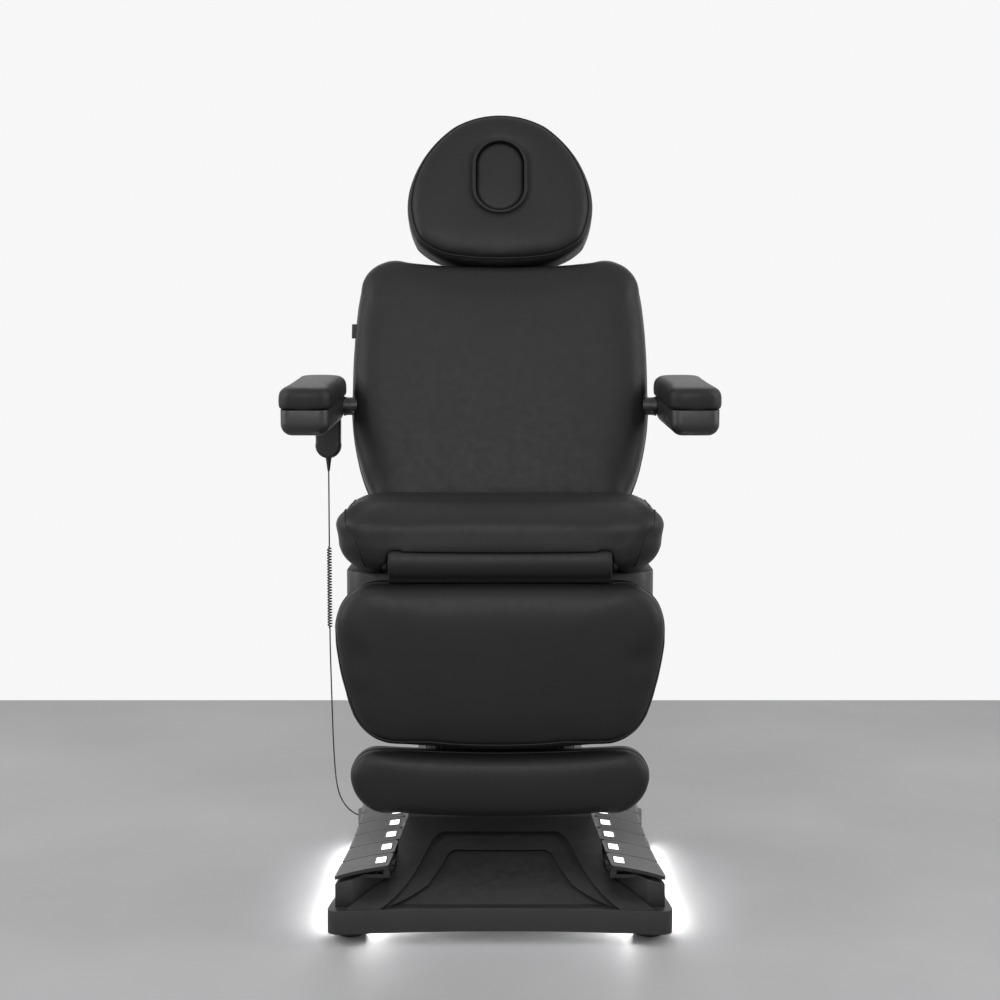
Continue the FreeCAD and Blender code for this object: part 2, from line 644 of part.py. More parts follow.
def seat_frame():
    inset = d.cover_wall + d.seat_gap
    board = plan_block("seat_board", d.cover_x - inset, -d.cover_front + inset, d.cover_rear - inset,
                       d.cover_corner - inset, d.board_bottom, d.board_top)
    rail = box("seat_rail", (d.rail_x, d.rail_x + d.rail_width), (-d.rail_front, d.rail_rear),
               (d.board_bottom - d.rail_drop, d.board_bottom))
    bearing_x = (d.tilt_block_x, d.tilt_block_x + d.tilt_block)
    boss = d.tilt_z - head_top - 1
    bearing = fuse("tilt_bearing", rod("tilt_boss", "x", (0, d.tilt_z), boss, *bearing_x),
                   box("tilt_post", bearing_x, (-boss, boss), (d.tilt_z, d.board_bottom)))
    leg_y, leg_z = pivot("leg")
    boss = d.hinge_pin_radius * 2
    leg_x = (d.leg_bracket_x, d.leg_bracket_x + d.plate_steel)
    leg_arm = extrude("leg_ear_arm", "yz", [
        (-d.rail_front, d.board_top - 1), (-d.rail_front, d.board_top + boss), (leg_y, leg_z + boss),
        (leg_y - boss / 4, leg_z - boss + 0.5), (-d.cover_front + boss / 2, d.board_top - 1)], *leg_x)
    leg_ear = fuse("leg_ear", rod("leg_ear_boss", "x", pivot("leg"), boss, *leg_x), leg_arm)
    back_y, back_z = pivot("back")
    back_x = (d.back_bracket_x, d.back_bracket_x + d.plate_steel)
    knuckle = boss - d.move_clear
    back_arm = extrude("back_ear_arm", "yz", [
        (back_y - boss * 2, d.board_top - 1), (back_y - knuckle, back_z), (back_y + knuckle, back_z),
        (back_y + knuckle, d.board_top - 1)], *back_x)
    back_ear = fuse("back_ear", rod("back_ear_boss", "x", pivot("back"), knuckle, *back_x), back_arm)
    half = fuse("seat_frame_half", rail, bearing, leg_ear, back_ear)
    whole = fuse("seat_weldment", board, half, mirrored("seat_frame_other", half))
    reach = d.cover_x
    bores = [rod("bore_tilt", "x", (0, d.tilt_z), d.tilt_radius + d.run_clear, -reach, reach)]
    for which in ("leg", "back"):
        bores.append(rod("bore_" + which, "x", pivot(which), d.hinge_pin_radius + d.run_clear, -reach, reach))
    slot = back_arm_slot("board_slot")
    other = mirrored("board_slot_other", slot)
    return node("seat_frame", cut("seat_frame_bored", whole, slot, other, *bores))


def back_arm_slot(name):
    """Room in the rear of the seat for a backrest arm that swings down as the back reclines."""
    gap = d.move_clear
    return box(name, (d.back_arm_x - gap, d.back_arm_x + d.plate_steel + gap),
               (d.back_pivot_y - 20, d.cover_rear + 5), (d.board_bottom - d.rail_drop, d.board_top + 4))


def seat_hinge_pins():
    inner, outer = d.leg_arm_x - 10, d.leg_bracket_x + d.plate_steel + 2
    leg_pin = rod("leg_pin", "x", pivot("leg"), d.hinge_pin_radius, inner, outer)
    back_pin = rod("back_pin", "x", pivot("back"), d.hinge_pin_radius, d.back_bracket_x - 2,
                   d.back_arm_x + d.plate_steel + 2)
    return node("seat_hinge_pins", both("hinge_pin_pairs", group("hinge_pins", leg_pin, back_pin)))


def seat_cover():
    wall = d.cover_wall
    outer = plan_block("skirt_outer", d.cover_x, -d.cover_front, d.cover_rear, d.cover_corner,
                       d.cover_bottom, d.cover_top)
    inner = plan_block("skirt_inner", d.cover_x - wall, -d.cover_front + wall, d.cover_rear - wall,
                       d.cover_corner - wall, d.cover_bottom - 1, d.cover_top + 1)
    slot = back_arm_slot("skirt_slot")
    return node("seat_cover", cut("skirt_shell", outer, inner, slot, mirrored("skirt_slot_other", slot)))


def seat_drive(name, side):
    """A linear drive under the board: motor can, gear case, sleeve and hanger."""
    x, z = (d.rail_x + d.rail_width + 28) * side, d.board_bottom - 46
    can = rod(name + "_can", "y", (x, z), 22, 0, 110)
    case = box(name + "_case", (x - 24, x + 24), (-40, 0), (z - 24, z + 24))
    sleeve = rod(name + "_sleeve", "y", (x, z), 14, -150, -40)
    hanger = box(name + "_hanger", (x - 12, x + 12), (20, 60), (z, d.board_bottom))
    return node(name, fuse(name + "_unit", can, case, sleeve, hanger))


# Soft forms: closed outlines of lines and arcs, lofted through the thickness of the pad

def arc(start, via, end):
    return Part.Arc(Vector(*start), Vector(*via), Vector(*end)).toShape()


def line(start, end):
    return Part.LineSegment(Vector(*start), Vector(*end)).toShape()


def loft(wires):
    return Part.makeLoft(wires, True, False)


def half_outline_wire(points, inset, centre, spread, level):
    """A closed wire from one half of an outline, mirrored, drawn in all round by the inset.

    points run from the top middle to the bottom middle as (x, y) with an arc through each
    second point; centre and spread give the middle and half sizes that the inset works on."""
    scale_x = 1 - inset / spread[0]
    scale_y = 1 - inset / spread[1]
    right = [(x * scale_x, centre + (y - centre) * scale_y, level) for x, y in points]
    left = [(-x, y, z) for x, y, z in right]
    edges = [arc(left[1], right[0], right[1])]
    for i in range(1, len(right) - 2, 2):
        edges.append(arc(right[i], right[i + 1], right[i + 2]))
    edges.append(arc(right[-2], right[-1], left[-2]))
    for i in range(len(left) - 2, 1, -2):
        edges.append(arc(left[i], left[i - 1], left[i - 2]))
    return Part.Wire(edges)


def pad(points, levels):
    """A pad over an outline; levels are (depth behind the face, inset) pairs."""
    xs = [abs(x) for x, y in points]
    ys = [y for x, y in points]
    centre, spread = (max(ys) + min(ys)) / 2, (max(xs), (max(ys) - min(ys)) / 2)
    wires = [half_outline_wire(points, inset, centre, spread, -depth) for depth, inset in levels]
    return loft(wires)


def rounded(thickness, face, rear):
    """Levels of a pad with a round edge at its face and another at its rear: (depth, inset) pairs."""
    depth = num(thickness)
    turns = [math.radians(angle) for angle in (0, 30, 60, 90)]
    levels = [(face * (1 - math.cos(turn)), face * (1 - math.sin(turn))) for turn in turns]
    wall = depth - face - rear
    levels += [(face + wall * share, 0) for share in (1 / 3, 2 / 3, 1)]
    levels += [(depth - rear + rear * math.sin(turn), rear * (1 - math.cos(turn))) for turn in turns[1::2]]
    return levels


# How far the seat pad draws in at its underside and at its top: sides, front and rear
SEAT_UNDER = (70, 46, 5)
SEAT_OVER = (82, 112, 52)


def seat_levels():
    """Heights over the seat pad's base, each with how far its sides, front and rear draw in there."""
    under, over, height = num(d.seat_under), num(d.seat_over), num(d.seat_thick)
    turns = [math.radians(angle) for angle in (0, 30, 60, 90)]
    levels = [(under * (1 - math.cos(turn)), *[inset * (1 - math.sin(turn)) for inset in SEAT_UNDER])
              for turn in turns]
    levels.append(((under + height - over) / 2, 0, 0, 0))
    levels += [(height - over * (1 - math.cos(turn)), *[inset * (1 - math.sin(turn)) for inset in SEAT_OVER])
               for turn in turns[::-1]]
    return levels


def seat_wire(level, side, front, rear):
    """Plan of the seat pad at one height."""
    half, near, far = num(d.seat_x) - side, -num(d.seat_front) + front, num(d.seat_rear) - rear
    points = [(0, far), (half - 46, far - 1), (half - 12, far - 12), (half - 1, far - 48),
              (half, (near + far) / 2), (half - 2, near + 80), (half - 16, near + 26), (half - 70, near + 4),
              (0, near)]
    return half_outline_wire(points, 0, 0, (1, 1), num(d.board_top + d.seat_gap) + level)


def seat_cushion():
    body = feature("seat_pad", loft([seat_wire(*level) for level in seat_levels()]))
    leg_y, leg_z = pivot("leg")
    reach = d.drum_radius + d.notch_clear
    bay_x = d.leg_bracket_x - d.move_clear
    drum = rod("drum_bay", "x", pivot("leg"), reach, -bay_x, bay_x)
    below = box("neck_bay", (-bay_x, bay_x), (leg_y - 80, leg_y + reach), (d.board_top - 20, leg_z))
    boss = d.hinge_pin_radius * 2 + d.move_clear
    slot = box("ear_bay", (bay_x - 1, d.leg_bracket_x + d.plate_steel + d.move_clear),
               (leg_y - boss, -d.rail_front + d.move_clear), (d.board_top - 5, leg_z + boss))
    return node("seat_cushion", cut("seat_pad_cut", body, drum, below, slot, mirrored("ear_bay_other", slot)))


# Leg rest: an upholstered pad and a hinge drum on a steel plate, with a foot pad on two rods

upright = Rotation(Vector(1, 0, 0), 90)


def standing(name, shape, front):
    """A pad whose face looks to the front, with its outline upright."""
    return feature(name, shape, Placement(Vector(0, -num(front), 0), upright))


def leg_outline():
    top, low, wide = num(d.leg_top), num(d.leg_bottom), num(d.leg_wide_x)
    return [(0, top), (225, top - 1), (280, top - 23), (wide, num(d.leg_wide_z)), (wide - 7, low + 132),
            (wide - 30, low + 58), (wide - 59, low + 23), (wide - 106, low + 6), (0, low)]


def foot_outline():
    top, low, half = num(d.foot_top), num(d.foot_bottom), num(d.foot_half)
    return [(0, top - 8), (half - 49, top), (half - 13, top - 16), (half, top - 47), (half - 22, low + 27),
            (half - 87, low + 8), (0, low)]


def leg_cushion():
    form = pad(leg_outline(), rounded(d.leg_depth, 30, 10))
    return node("leg_cushion", standing("leg_pad", form, d.leg_front))


def foot_cushion():
    form = pad(foot_outline(), rounded(d.leg_depth - d.foot_thinner, 24, 8))
    return node("foot_cushion", standing("foot_pad", form, d.leg_front))


leg_back = -d.leg_front + d.leg_depth


def leg_frame():
    y, z = pivot("leg")
    plate_y = (leg_back + d.seat_gap, leg_back + d.seat_gap + d.sheet_steel)
    arm_x = (d.leg_arm_x, d.leg_arm_x + d.sheet_steel)
    plate = box("leg_plate", (-d.leg_arm_x - 30, d.leg_arm_x + 30), plate_y,
                (d.leg_bottom + d.plate_inset, d.leg_top - d.plate_inset))
    core = rod("leg_core", "x", (y, z), d.core_radius, -arm_x[1], arm_x[1])
    arm_front, arm_rear, arm_low = plate_y[1] - 1, plate_y[1] + 8, d.leg_top - 120
    arm = extrude("leg_arm", "yz", [
        (y + d.core_radius - 1, z), (arm_rear, d.leg_top - 30), (arm_rear, arm_low), (arm_front, arm_low),
        (arm_front, d.leg_top - 10), (y - 3, z - d.core_radius + 0.5)], *arm_x)
    rod_y = plate_y[1] + d.guide_radius - 1
    guide = rod("foot_guide", "z", (d.foot_rod_x, rod_y), d.guide_radius, d.leg_bottom + d.guide_low,
                d.leg_bottom + d.guide_high)
    frame = fuse("leg_weldment", plate, core, arm, mirrored("leg_arm_other", arm), guide,
                 mirrored("foot_guide_other", guide))
    bore = rod("foot_bore", "z", (d.foot_rod_x, rod_y), d.foot_rod_radius + d.run_clear, d.leg_bottom,
               d.leg_top - 30)
    pin = rod("core_bore", "x", (y, z), d.hinge_pin_radius + d.run_clear, -d.cover_x, d.cover_x)
    return node("leg_frame", cut("leg_frame_bored", frame, bore, mirrored("foot_bore_other", bore), pin))


def leg_bolster():
    y, z = pivot("leg")
    half = d.drum_half
    drum = rod("drum", "x", (y, z), d.drum_radius, -half, half)
    neck = box("drum_neck", (-half, half), (y - 20, y + 6), (d.leg_top + 1, z))
    bore = rod("drum_bore", "x", (y, z), d.core_radius + d.seat_gap, -half - 1, half + 1)
    return node("leg_bolster", cut("drum_hollow", fuse("drum_block", drum, neck), bore))


def foot_slide():
    plate_y = (leg_back - d.foot_thinner + d.seat_gap, leg_back + d.seat_gap + d.sheet_steel)
    plate_x = d.leg_arm_x + d.sheet_steel
    low = d.foot_bottom + d.plate_inset
    plate = box("foot_plate", (-plate_x, plate_x), plate_y, (low, d.foot_top - d.plate_inset))
    rod_y = plate_y[1] + d.guide_radius - 1
    bar = rod("foot_rod", "z", (d.foot_rod_x, rod_y), d.foot_rod_radius, low + 4,
              d.leg_bottom + d.foot_rod_top)
    lug = box("foot_lug", (d.foot_rod_x - 12, d.foot_rod_x + 12), (plate_y[1] - 1, rod_y + 11),
              (low + 4, d.foot_top - 30))
    return node("foot_slide", fuse("foot_weldment", plate, bar, lug, mirrored("foot_rod_other", bar),
                                   mirrored("foot_lug_other", lug)))


# Backrest: drawn in a leaning frame, x across, y up the slope and -z into the back

lean = Rotation(Vector(1, 0, 0), 90 - num(d.back_slope))
lean_sin = math.sin(math.radians(num(d.back_slope)))
lean_cos = math.cos(math.radians(num(d.back_slope)))


def leaning(obj):
    obj.Placement = Placement(point(0, d.back_y, d.back_z), lean)
    bind(obj, "Placement.Base.y", d.back_y)
    bind(obj, "Placement.Base.z", d.back_z)
    return obj


def lean_point(y, z):
    """A place in side view, as its height up the slope and its depth behind the face."""
    across, up = y - d.back_y, z - d.back_z
    return across * lean_sin + up * lean_cos, across * lean_cos - up * lean_sin


def lean_box(name, x, up, depth):
    return box(name, x, up, (-as_size(depth[1]), -as_size(depth[0])))


def lean_rod(name, axis, centre, radius, low, high):
    """A cylinder in the leaning frame; the second coordinate of centre is a depth."""
    return rod(name, axis, (centre[0], -as_size(centre[1])), radius, low, high)


def back_outline():
    top, wide = num(d.back_length), num(d.back_wide_x)
    return [(0, top - num(d.back_dip)), (205, top), (wide - 36, top - 17), (wide - 12, top - 73),
            (wide - 2, top - 173), (wide, num(d.back_wide_w)), (wide - 9, 165), (wide - 43, 58),
            (wide - 70, 16), (wide - 109, 1), (0, 0)]


board_front = d.back_thick + d.seat_gap
board_rear = board_front + d.back_board
guide_depth = board_rear + d.head_rod_radius + 3
spindle_up, spindle_depth = lean_point(d.arm_axis_y, d.arm_axis_z)
spindle_x = d.back_board_x + 57


def back_cushion():
    pad_form = feature("back_pad", pad(back_outline(), rounded(d.back_thick, 34, 10)))
    room = d.spindle_radius + d.move_clear + 2
    slot = lean_box("spindle_slot", (spindle_x - d.move_clear, spindle_x + d.plate_steel + d.move_clear),
                    (spindle_up - room, spindle_up + room), (spindle_depth - room, d.back_thick + 1))
    hole = lean_rod("spindle_hole", "x", (spindle_up, spindle_depth), d.spindle_radius + 1, spindle_x,
                    d.arm_out)
    cuts = fuse("spindle_room", slot, hole)
    other = mirrored("spindle_room_other", cuts)
    return node("back_cushion", leaning(cut("back_pad_cut", pad_form, cuts, other)))


def back_frame():
    up, depth = lean_point(*pivot("back"))
    board = lean_box("back_board", (-d.back_board_x, d.back_board_x), (d.back_board_low, d.back_board_high),
                     (board_front, board_rear))
    arm_x = (d.back_arm_x, d.back_arm_x + d.plate_steel)
    boss = d.hinge_pin_radius * 2 - 2
    arm = extrude("back_arm", "yz", [
        (up - boss, -depth), (-14, -board_rear), (d.back_board_low + 60, -board_rear),
        (d.back_board_low + 60, -board_front - 0.7), (-8, -board_front - 0.7), (up + boss, -depth)], *arm_x)
    knuckle = lean_rod("back_knuckle", "x", (up, depth), boss, *arm_x)
    guide = lean_rod("head_guide", "y", (d.head_rod_x, guide_depth), d.head_rod_radius + 4, d.head_guide_low,
                     d.back_board_high)
    half = fuse("back_frame_half", arm, knuckle, guide)
    frame = fuse("back_weldment", board, half, mirrored("back_frame_other", half))
    pin = lean_rod("back_bore", "x", (up, depth), d.hinge_pin_radius + d.run_clear, -d.cover_x, d.cover_x)
    slide = lean_rod("head_bore", "y", (d.head_rod_x, guide_depth), d.head_rod_radius + d.run_clear,
                     d.head_guide_low - 5, d.back_board_high + 5)
    other = mirrored("head_bore_other", slide)
    return node("back_frame", leaning(cut("back_frame_bored", frame, pin, slide, other)))


def arm_spindles():
    reach = d.spindle_radius + d.move_clear
    span = (spindle_up - reach, spindle_up + reach)
    far = spindle_x + d.plate_steel
    bar = lean_box("spindle_bar", (d.back_board_x, far), span, (board_front, board_rear))
    web = lean_box("spindle_web", (spindle_x, far), span, (spindle_depth - reach, board_rear))
    shaft = lean_rod("spindle_shaft", "x", (spindle_up, spindle_depth), d.spindle_radius, spindle_x,
                     d.arm_in + d.hub_depth)
    return node("arm_spindles", leaning(both("spindle_pair", fuse("spindle", bar, web, shaft))))


def shell_block(name, points, front, depth, inset, wall):
    """A shallow moulded dish over an outline, its rim on the back of a pad."""
    deep, rim = num(depth), inset + wall
    curve = ((0, 0), (0.4, 2), (0.75, 9), (0.93, 20), (1, 34))
    dish = pad(points, [(deep * share, rim + inward) for share, inward in curve])
    return feature(name, dish, Placement(Vector(0, 0, -num(front)), Rotation()))


def back_shell():
    inset, wall = num(d.back_shell_inset), num(d.back_shell_wall)
    outer = shell_block("shell_outer", back_outline(), board_front, d.back_shell_depth, inset, 0)
    depth = d.back_shell_depth - wall
    inner = shell_block("shell_inner", back_outline(), board_front - 0.5, depth, inset, wall)
    gap = d.move_clear + 1
    arm_slot = lean_box("arm_slot", (d.back_arm_x - gap, d.back_arm_x + d.plate_steel + gap),
                        (-20, d.back_board_low + 20), (board_front - 1, board_rear + gap))
    rod_slot = lean_rod("rod_slot", "y", (d.head_rod_x, guide_depth), d.head_rod_radius + 5,
                        d.back_board_high, d.back_length + 20)
    slots = fuse("shell_slots", arm_slot, rod_slot)
    other = mirrored("shell_slots_other", slots)
    return node("back_shell", leaning(cut("shell_dish", outer, inner, slots, other)))


# Headrest: slides up the backrest on two rods, nods on a cross shaft, with a lift-out face plug

def head_outline():
    low, top, half = num(d.back_length), num(d.head_length), num(d.head_x)
    shape = [(0, top), (half - 100, top - 28), (half - 43, top - 86), (half - 8, top - 157), (half, 124),
             (half - 21, 46), (half - 51, 22), (half - 97, 5), (0, -4)]
    return [(x, low + up) for x, up in shape]


def oval(growth):
    """The face opening: straight sides and round ends, as a prism through the headrest."""
    half_x, half_up = num(d.hole_x) + growth, num(d.hole_half) + growth
    middle = num(d.back_length + d.hole_up)
    straight = half_up - half_x
    corner = half_x * math.sqrt(0.5)
    edges = []
    for sign in (1, -1):
        side, up = half_x * sign, middle + straight * sign
        tip = middle + half_up * sign
        edges.append(line((side, middle - straight * sign, 0), (side, up, 0)))
        edges.append(arc((side, up, 0), (corner * sign, up + corner * sign, 0), (0, tip, 0)))
        edges.append(arc((0, tip, 0), (-corner * sign, up + corner * sign, 0), (-side, up, 0)))
    return Part.Face(Part.Wire(edges))


def headrest_cushion():
    form = feature("head_pad", pad(head_outline(), rounded(d.head_thick, 32, 10)))
    hole = feature("face_hole", oval(num(d.plug_gap)).extrude(Vector(0, 0, -num(d.head_thick) - 4)),
                   Placement(Vector(0, 0, 2), Rotation()))
    return node("headrest_cushion", leaning(cut("head_pad_cut", form, hole)))


def face_plug():
    depth, sunk = num(d.head_thick + d.seat_gap), num(d.plug_sunk)
    prism = oval(0).extrude(Vector(0, 0, sunk - depth))
    form = feature("plug_form", prism, Placement(Vector(0, 0, -sunk), Rotation()))
    return node("face_plug", leaning(soften("plug_round", form, d.plug_round,
                                            lambda edge: edge.BoundBox.ZMin > -sunk - 1)))


head_shaft_up = d.back_length + d.head_shaft_rise


def headrest_board():
    points = head_outline()
    front = d.head_thick + d.seat_gap
    inset = num(d.head_board_inset)
    plate = feature("head_plate_form", pad(points, ((0, inset), (num(d.head_board), inset))),
                    Placement(Vector(0, 0, -num(front)), Rotation()))
    through = -num(front + d.head_board) - 4
    hole = feature("board_hole", oval(-num(d.plug_round)).extrude(Vector(0, 0, through)))
    ear_near = d.head_rod_x + d.head_rod_radius + d.plate_steel
    ear_x = (ear_near, ear_near + d.plate_steel)
    boss = d.head_shaft_radius * 2
    arm = lean_box("head_ear_arm", ear_x, (head_shaft_up, d.back_length + d.head_ear_up),
                   (front + d.head_board - 1, guide_depth + boss / 2))
    knuckle = lean_rod("head_ear_boss", "x", (head_shaft_up, guide_depth), boss, *ear_x)
    ear = fuse("head_ear_half", arm, knuckle)
    bore = lean_rod("head_ear_bore", "x", (head_shaft_up, guide_depth), d.head_shaft_radius + d.run_clear,
                    -d.head_x, d.head_x)
    board = fuse("head_board_joined", plate, ear, mirrored("head_ear_half_other", ear))
    return node("headrest_board", leaning(cut("head_board_cut", board, hole, bore)))


def headrest_bracket():
    bar = lean_rod("head_rod", "y", (d.head_rod_x, guide_depth), d.head_rod_radius, d.head_rod_low,
                   head_shaft_up)
    reach = d.head_rod_x + d.head_rod_radius + d.plate_steel * 2.5
    shaft = lean_rod("head_shaft", "x", (head_shaft_up, guide_depth), d.head_shaft_radius, -reach, reach)
    other = mirrored("head_rod_other", bar)
    return node("headrest_bracket", leaning(fuse("head_bracket", bar, other, shaft)))


# Arms: a moulded shell that turns on its spindle, with a soft pad on top

arm_length = d.arm_front + d.arm_rear


def arm_shell():
    front, rear = -d.arm_front + d.shell_inset, d.arm_rear - d.shell_inset
    low, split = d.arm_bottom, d.arm_split
    sides = (d.arm_in + d.shell_inset, d.arm_out - d.shell_inset)
    heel = low + d.arm_heel
    block = extrude("arm_block", "yz", [
        (front, split), (front, low + 25), (front + 25, low, front + 7, low + 7), (rear - 37, heel),
        (rear, heel + 36, rear - 10, heel + 11), (rear, split + d.arm_rise)], *sides)
    top = num(split) - 1
    form = soften("arm_form", block, d.arm_corner,
                  lambda edge: edge.BoundBox.XLength < 1e-6 and edge.BoundBox.ZMin < top)
    wall = d.shell_inset * 4
    pocket = box("arm_pocket", (sides[0] + wall, sides[1] - wall),
                 (front + wall, d.arm_axis_y - d.hub_radius * 2), (low + wall, split + 60))
    bore = rod("arm_bore", "x", (d.arm_axis_y, d.arm_axis_z), d.spindle_radius + d.run_clear, d.arm_in - 10,
               d.arm_in + d.hub_depth + 1)
    right = node("arm_shell_right", cut("arm_hollow", form, pocket, bore))
    hook_x = (-d.handset_x - 7, -d.handset_x + 7)
    tongue = box("hook_tongue", hook_x, (rear - 1, handset_face + 9), (hook_z, hook_z + 5))
    lip = box("hook_lip", hook_x, (handset_face + 5, handset_face + 9), (hook_z, hook_z + 12))
    node("arm_shell_left", fuse("arm_hooked", mirrored("arm_mirror", right), tongue, lip))


def arm_pad_outline():
    half, end = num(d.arm_out - d.arm_in) / 2, num(arm_length) / 2
    return [(0, end), (half - 22, end - 1), (half - 5, end - 8), (half - 0.5, end - 26), (half, 0),
            (half - 0.5, -end + 40), (half - 9, -end + 14), (half - 34, -end + 2), (0, -end)]


def arm_pad():
    rise = math.degrees(math.atan2(num(d.arm_rise), num(arm_length - d.shell_inset * 2)))
    tilt = Rotation(Vector(1, 0, 0), rise)
    seat = point((d.arm_in + d.arm_out) / 2, (d.arm_rear - d.arm_front) / 2, d.arm_split + d.arm_rise / 2)
    middle = seat + tilt.multVec(point(0, 0, d.arm_pad + d.seat_gap))
    form = feature("arm_pad_form", pad(arm_pad_outline(), rounded(d.arm_pad, 18, 6)), Placement(middle, tilt))
    node("arm_pad_right", form)
    node("arm_pad_left", mirrored("arm_pad_mirror", form))


# Handset on a hook behind the left arm, and its cord down to the base

handset_face = d.cord_y - d.handset_depth / 2
hook_z = d.handset_top - 60


def handset():
    top, low, half = num(d.handset_top), num(d.handset_bottom), num(d.handset_width) / 2
    outline = [(0, top), (half - 11.5, top - 3), (half - 2.5, top - 11), (half - 0.4, top - 30),
               (half, top - 80), (half - 0.5, low + 35), (half - 5.5, low + 11), (half - 20.5, low + 1),
               (0, low)]
    body = feature("handset_form", pad(outline, rounded(d.handset_depth, 7, 6)),
                   Placement(point(-d.handset_x, handset_face, 0), upright))
    relief = doc.addObject("Part::Cone", "handset_relief")
    bind(relief, "Radius1", d.cord_radius + 1)
    bind(relief, "Radius2", 6.5)
    bind(relief, "Height", d.handset_bottom - d.relief_bottom + 2)
    place(relief, -d.handset_x, d.cord_y, d.relief_bottom)
    rear = d.cord_y + d.handset_depth / 2
    keys = (-d.handset_x - key_half, -d.handset_x + key_half)
    pocket = box("key_pocket", keys, (rear - key_depth, rear + 5),
                 (key_low - d.seat_gap, key_high + d.seat_gap))
    slot = box("hook_slot", (-d.handset_x - 8, -d.handset_x + 8), (handset_face - 5, handset_face + 11),
               (hook_z - d.seat_gap, hook_z + 12 + d.seat_gap))
    return node("handset", cut("handset_cut", fuse("handset_body", body, relief), pocket, slot))


key_half, key_depth = as_size(17), as_size(3)
key_low, key_high = d.handset_bottom + 42, d.handset_top - 30


def handset_keypad():
    rear = d.cord_y + d.handset_depth / 2
    inset = d.seat_gap
    sheet_pad = box("key_sheet", (-d.handset_x - key_half + inset, -d.handset_x + key_half - inset),
                    (rear - key_depth, rear - key_depth / 3), (key_low, key_high))
    return node("handset_keypad", sheet_pad)


def mains_inlet():
    gap = d.seat_gap
    body = box("inlet_body", (-inlet_x + gap, inlet_x - gap), (inlet_wall - 25, inlet_wall + 5),
               (inlet_low + gap, inlet_high - gap))
    socket = box("inlet_socket", (-inlet_x + 6, inlet_x - 6), (inlet_wall - 14, inlet_wall + 6),
                 (inlet_low + 7, inlet_high - 7))
    pins = []
    for number, (x, rise) in enumerate(((as_size(-9), 0), (as_size(0), 3), (as_size(9), 0))):
        low = inlet_low + 13 + rise
        pins.append(box("inlet_pin_%d" % number, (x - 1, x + 1), (inlet_wall - 15, inlet_wall - 2),
                        (low, low + 6)))
    return node("mains_inlet", fuse("inlet_unit", cut("inlet_case", body, socket), *pins))


def cord_gland():
    centre = (-d.gland_x, d.gland_z)
    body = rod("gland_body", "y", centre, d.gland_radius, d.gland_end - 36, d.gland_end - 12)
    collar = rod("gland_collar", "y", centre, d.gland_radius + 3, d.gland_end - 20, d.gland_end - 15)
    taper = doc.addObject("Part::Cone", "gland_taper")
    bind(taper, "Radius1", d.gland_radius)
    bind(taper, "Radius2", d.cord_radius + 1)
    bind(taper, "Height", 13)
    place(taper, -d.gland_x, d.gland_end - 13, d.gland_z, Rotation(Vector(0, 0, 1), Vector(0, 1, 0)))
    return node("cord_gland", fuse("gland_unit", body, collar, taper))


# Route of the free stretch, from the curls down behind the base to the gland
LOWER_ROUTE = ((-372, 305, 215), (-369, 342, 118), (-355, 368, 72), (-330, 392, 42), (-302, 408, 34),
               (-278, 412, 36), (-262, 402, 39.5))


def cord_path(points):
    """Straight runs joined by tangent arcs as large as the runs allow."""
    edges, radii, start = [], [], points[0]
    for before, corner, after in zip(points, points[1:], points[2:]):
        back, on = before - corner, after - corner
        turn = math.pi - back.getAngle(on)
        trim = 0.45 * min(back.Length, on.Length)
        radii.append(trim / math.tan(turn / 2))
        first = corner + back.normalize() * trim
        last = corner + on.normalize() * trim
        bisector = (back + on).normalize()
        centre = corner + bisector * (radii[-1] / math.cos(turn / 2))
        edges.append(Part.LineSegment(start, first).toShape())
        edges.append(Part.Arc(first, centre - bisector * radii[-1], last).toShape())
        start = last
    edges.append(Part.LineSegment(start, points[-1]).toShape())
    return Part.Wire(edges), radii


def cord_tube(name, path):
    """A round cord along a path, whose volume is its section times its length."""
    begin = path.Edges[0]
    heading = begin.tangentAt(begin.FirstParameter)
    ring = Part.Wire(Part.Circle(begin.valueAt(begin.FirstParameter), heading, num(d.cord_radius)).toShape())
    tube_shape = path.makePipeShell([ring], True, False)
    expected = math.pi * num(d.cord_radius) ** 2 * path.Length
    print(name, "length %.1f, volume ratio %.4f" % (path.Length, tube_shape.Volume / expected))
    return feature(name + "_form", tube_shape)


def cord_upper():
    x, y = -d.handset_x, d.cord_y
    return node("cord_upper", rod("cord_drop", "z", (x, y), d.cord_radius, d.curl_top, d.relief_bottom))


def cord_lower():
    points = [point(-d.handset_x, d.cord_y, d.curl_bottom)] + [Vector(*p) for p in LOWER_ROUTE]
    points.append(point(-d.gland_x, d.gland_end, d.gland_z))
    path, radii = cord_path(points)
    print("cord_lower bend radii", ["%.1f" % radius for radius in radii])
    return node("cord_lower", cord_tube("cord_lower", path))


def biarc(start, heading, end, leaving):
    """Two tangent arcs from one point and direction to another."""
    across, both_ways = end - start, heading + leaving
    spread = 2 * (1 - heading.dot(leaving))
    along = across.dot(both_ways)
    reach = (math.sqrt(along * along + spread * across.dot(across)) - along) / spread
    joint = (start + end + (heading - leaving) * reach) * 0.5
    return [tangent_arc(start, heading, joint), tangent_arc(end, -leaving, joint)]


def tangent_arc(start, heading, end):
    chord = end - start
    angle = heading.getAngle(chord)
    unit = Vector(chord).normalize()
    bulge = (heading - unit * heading.dot(unit)).normalize()
    via = start + chord * 0.5 + bulge * (chord.Length / 2 * math.tan(angle / 2))
    return Part.Arc(start, via, end).toShape()


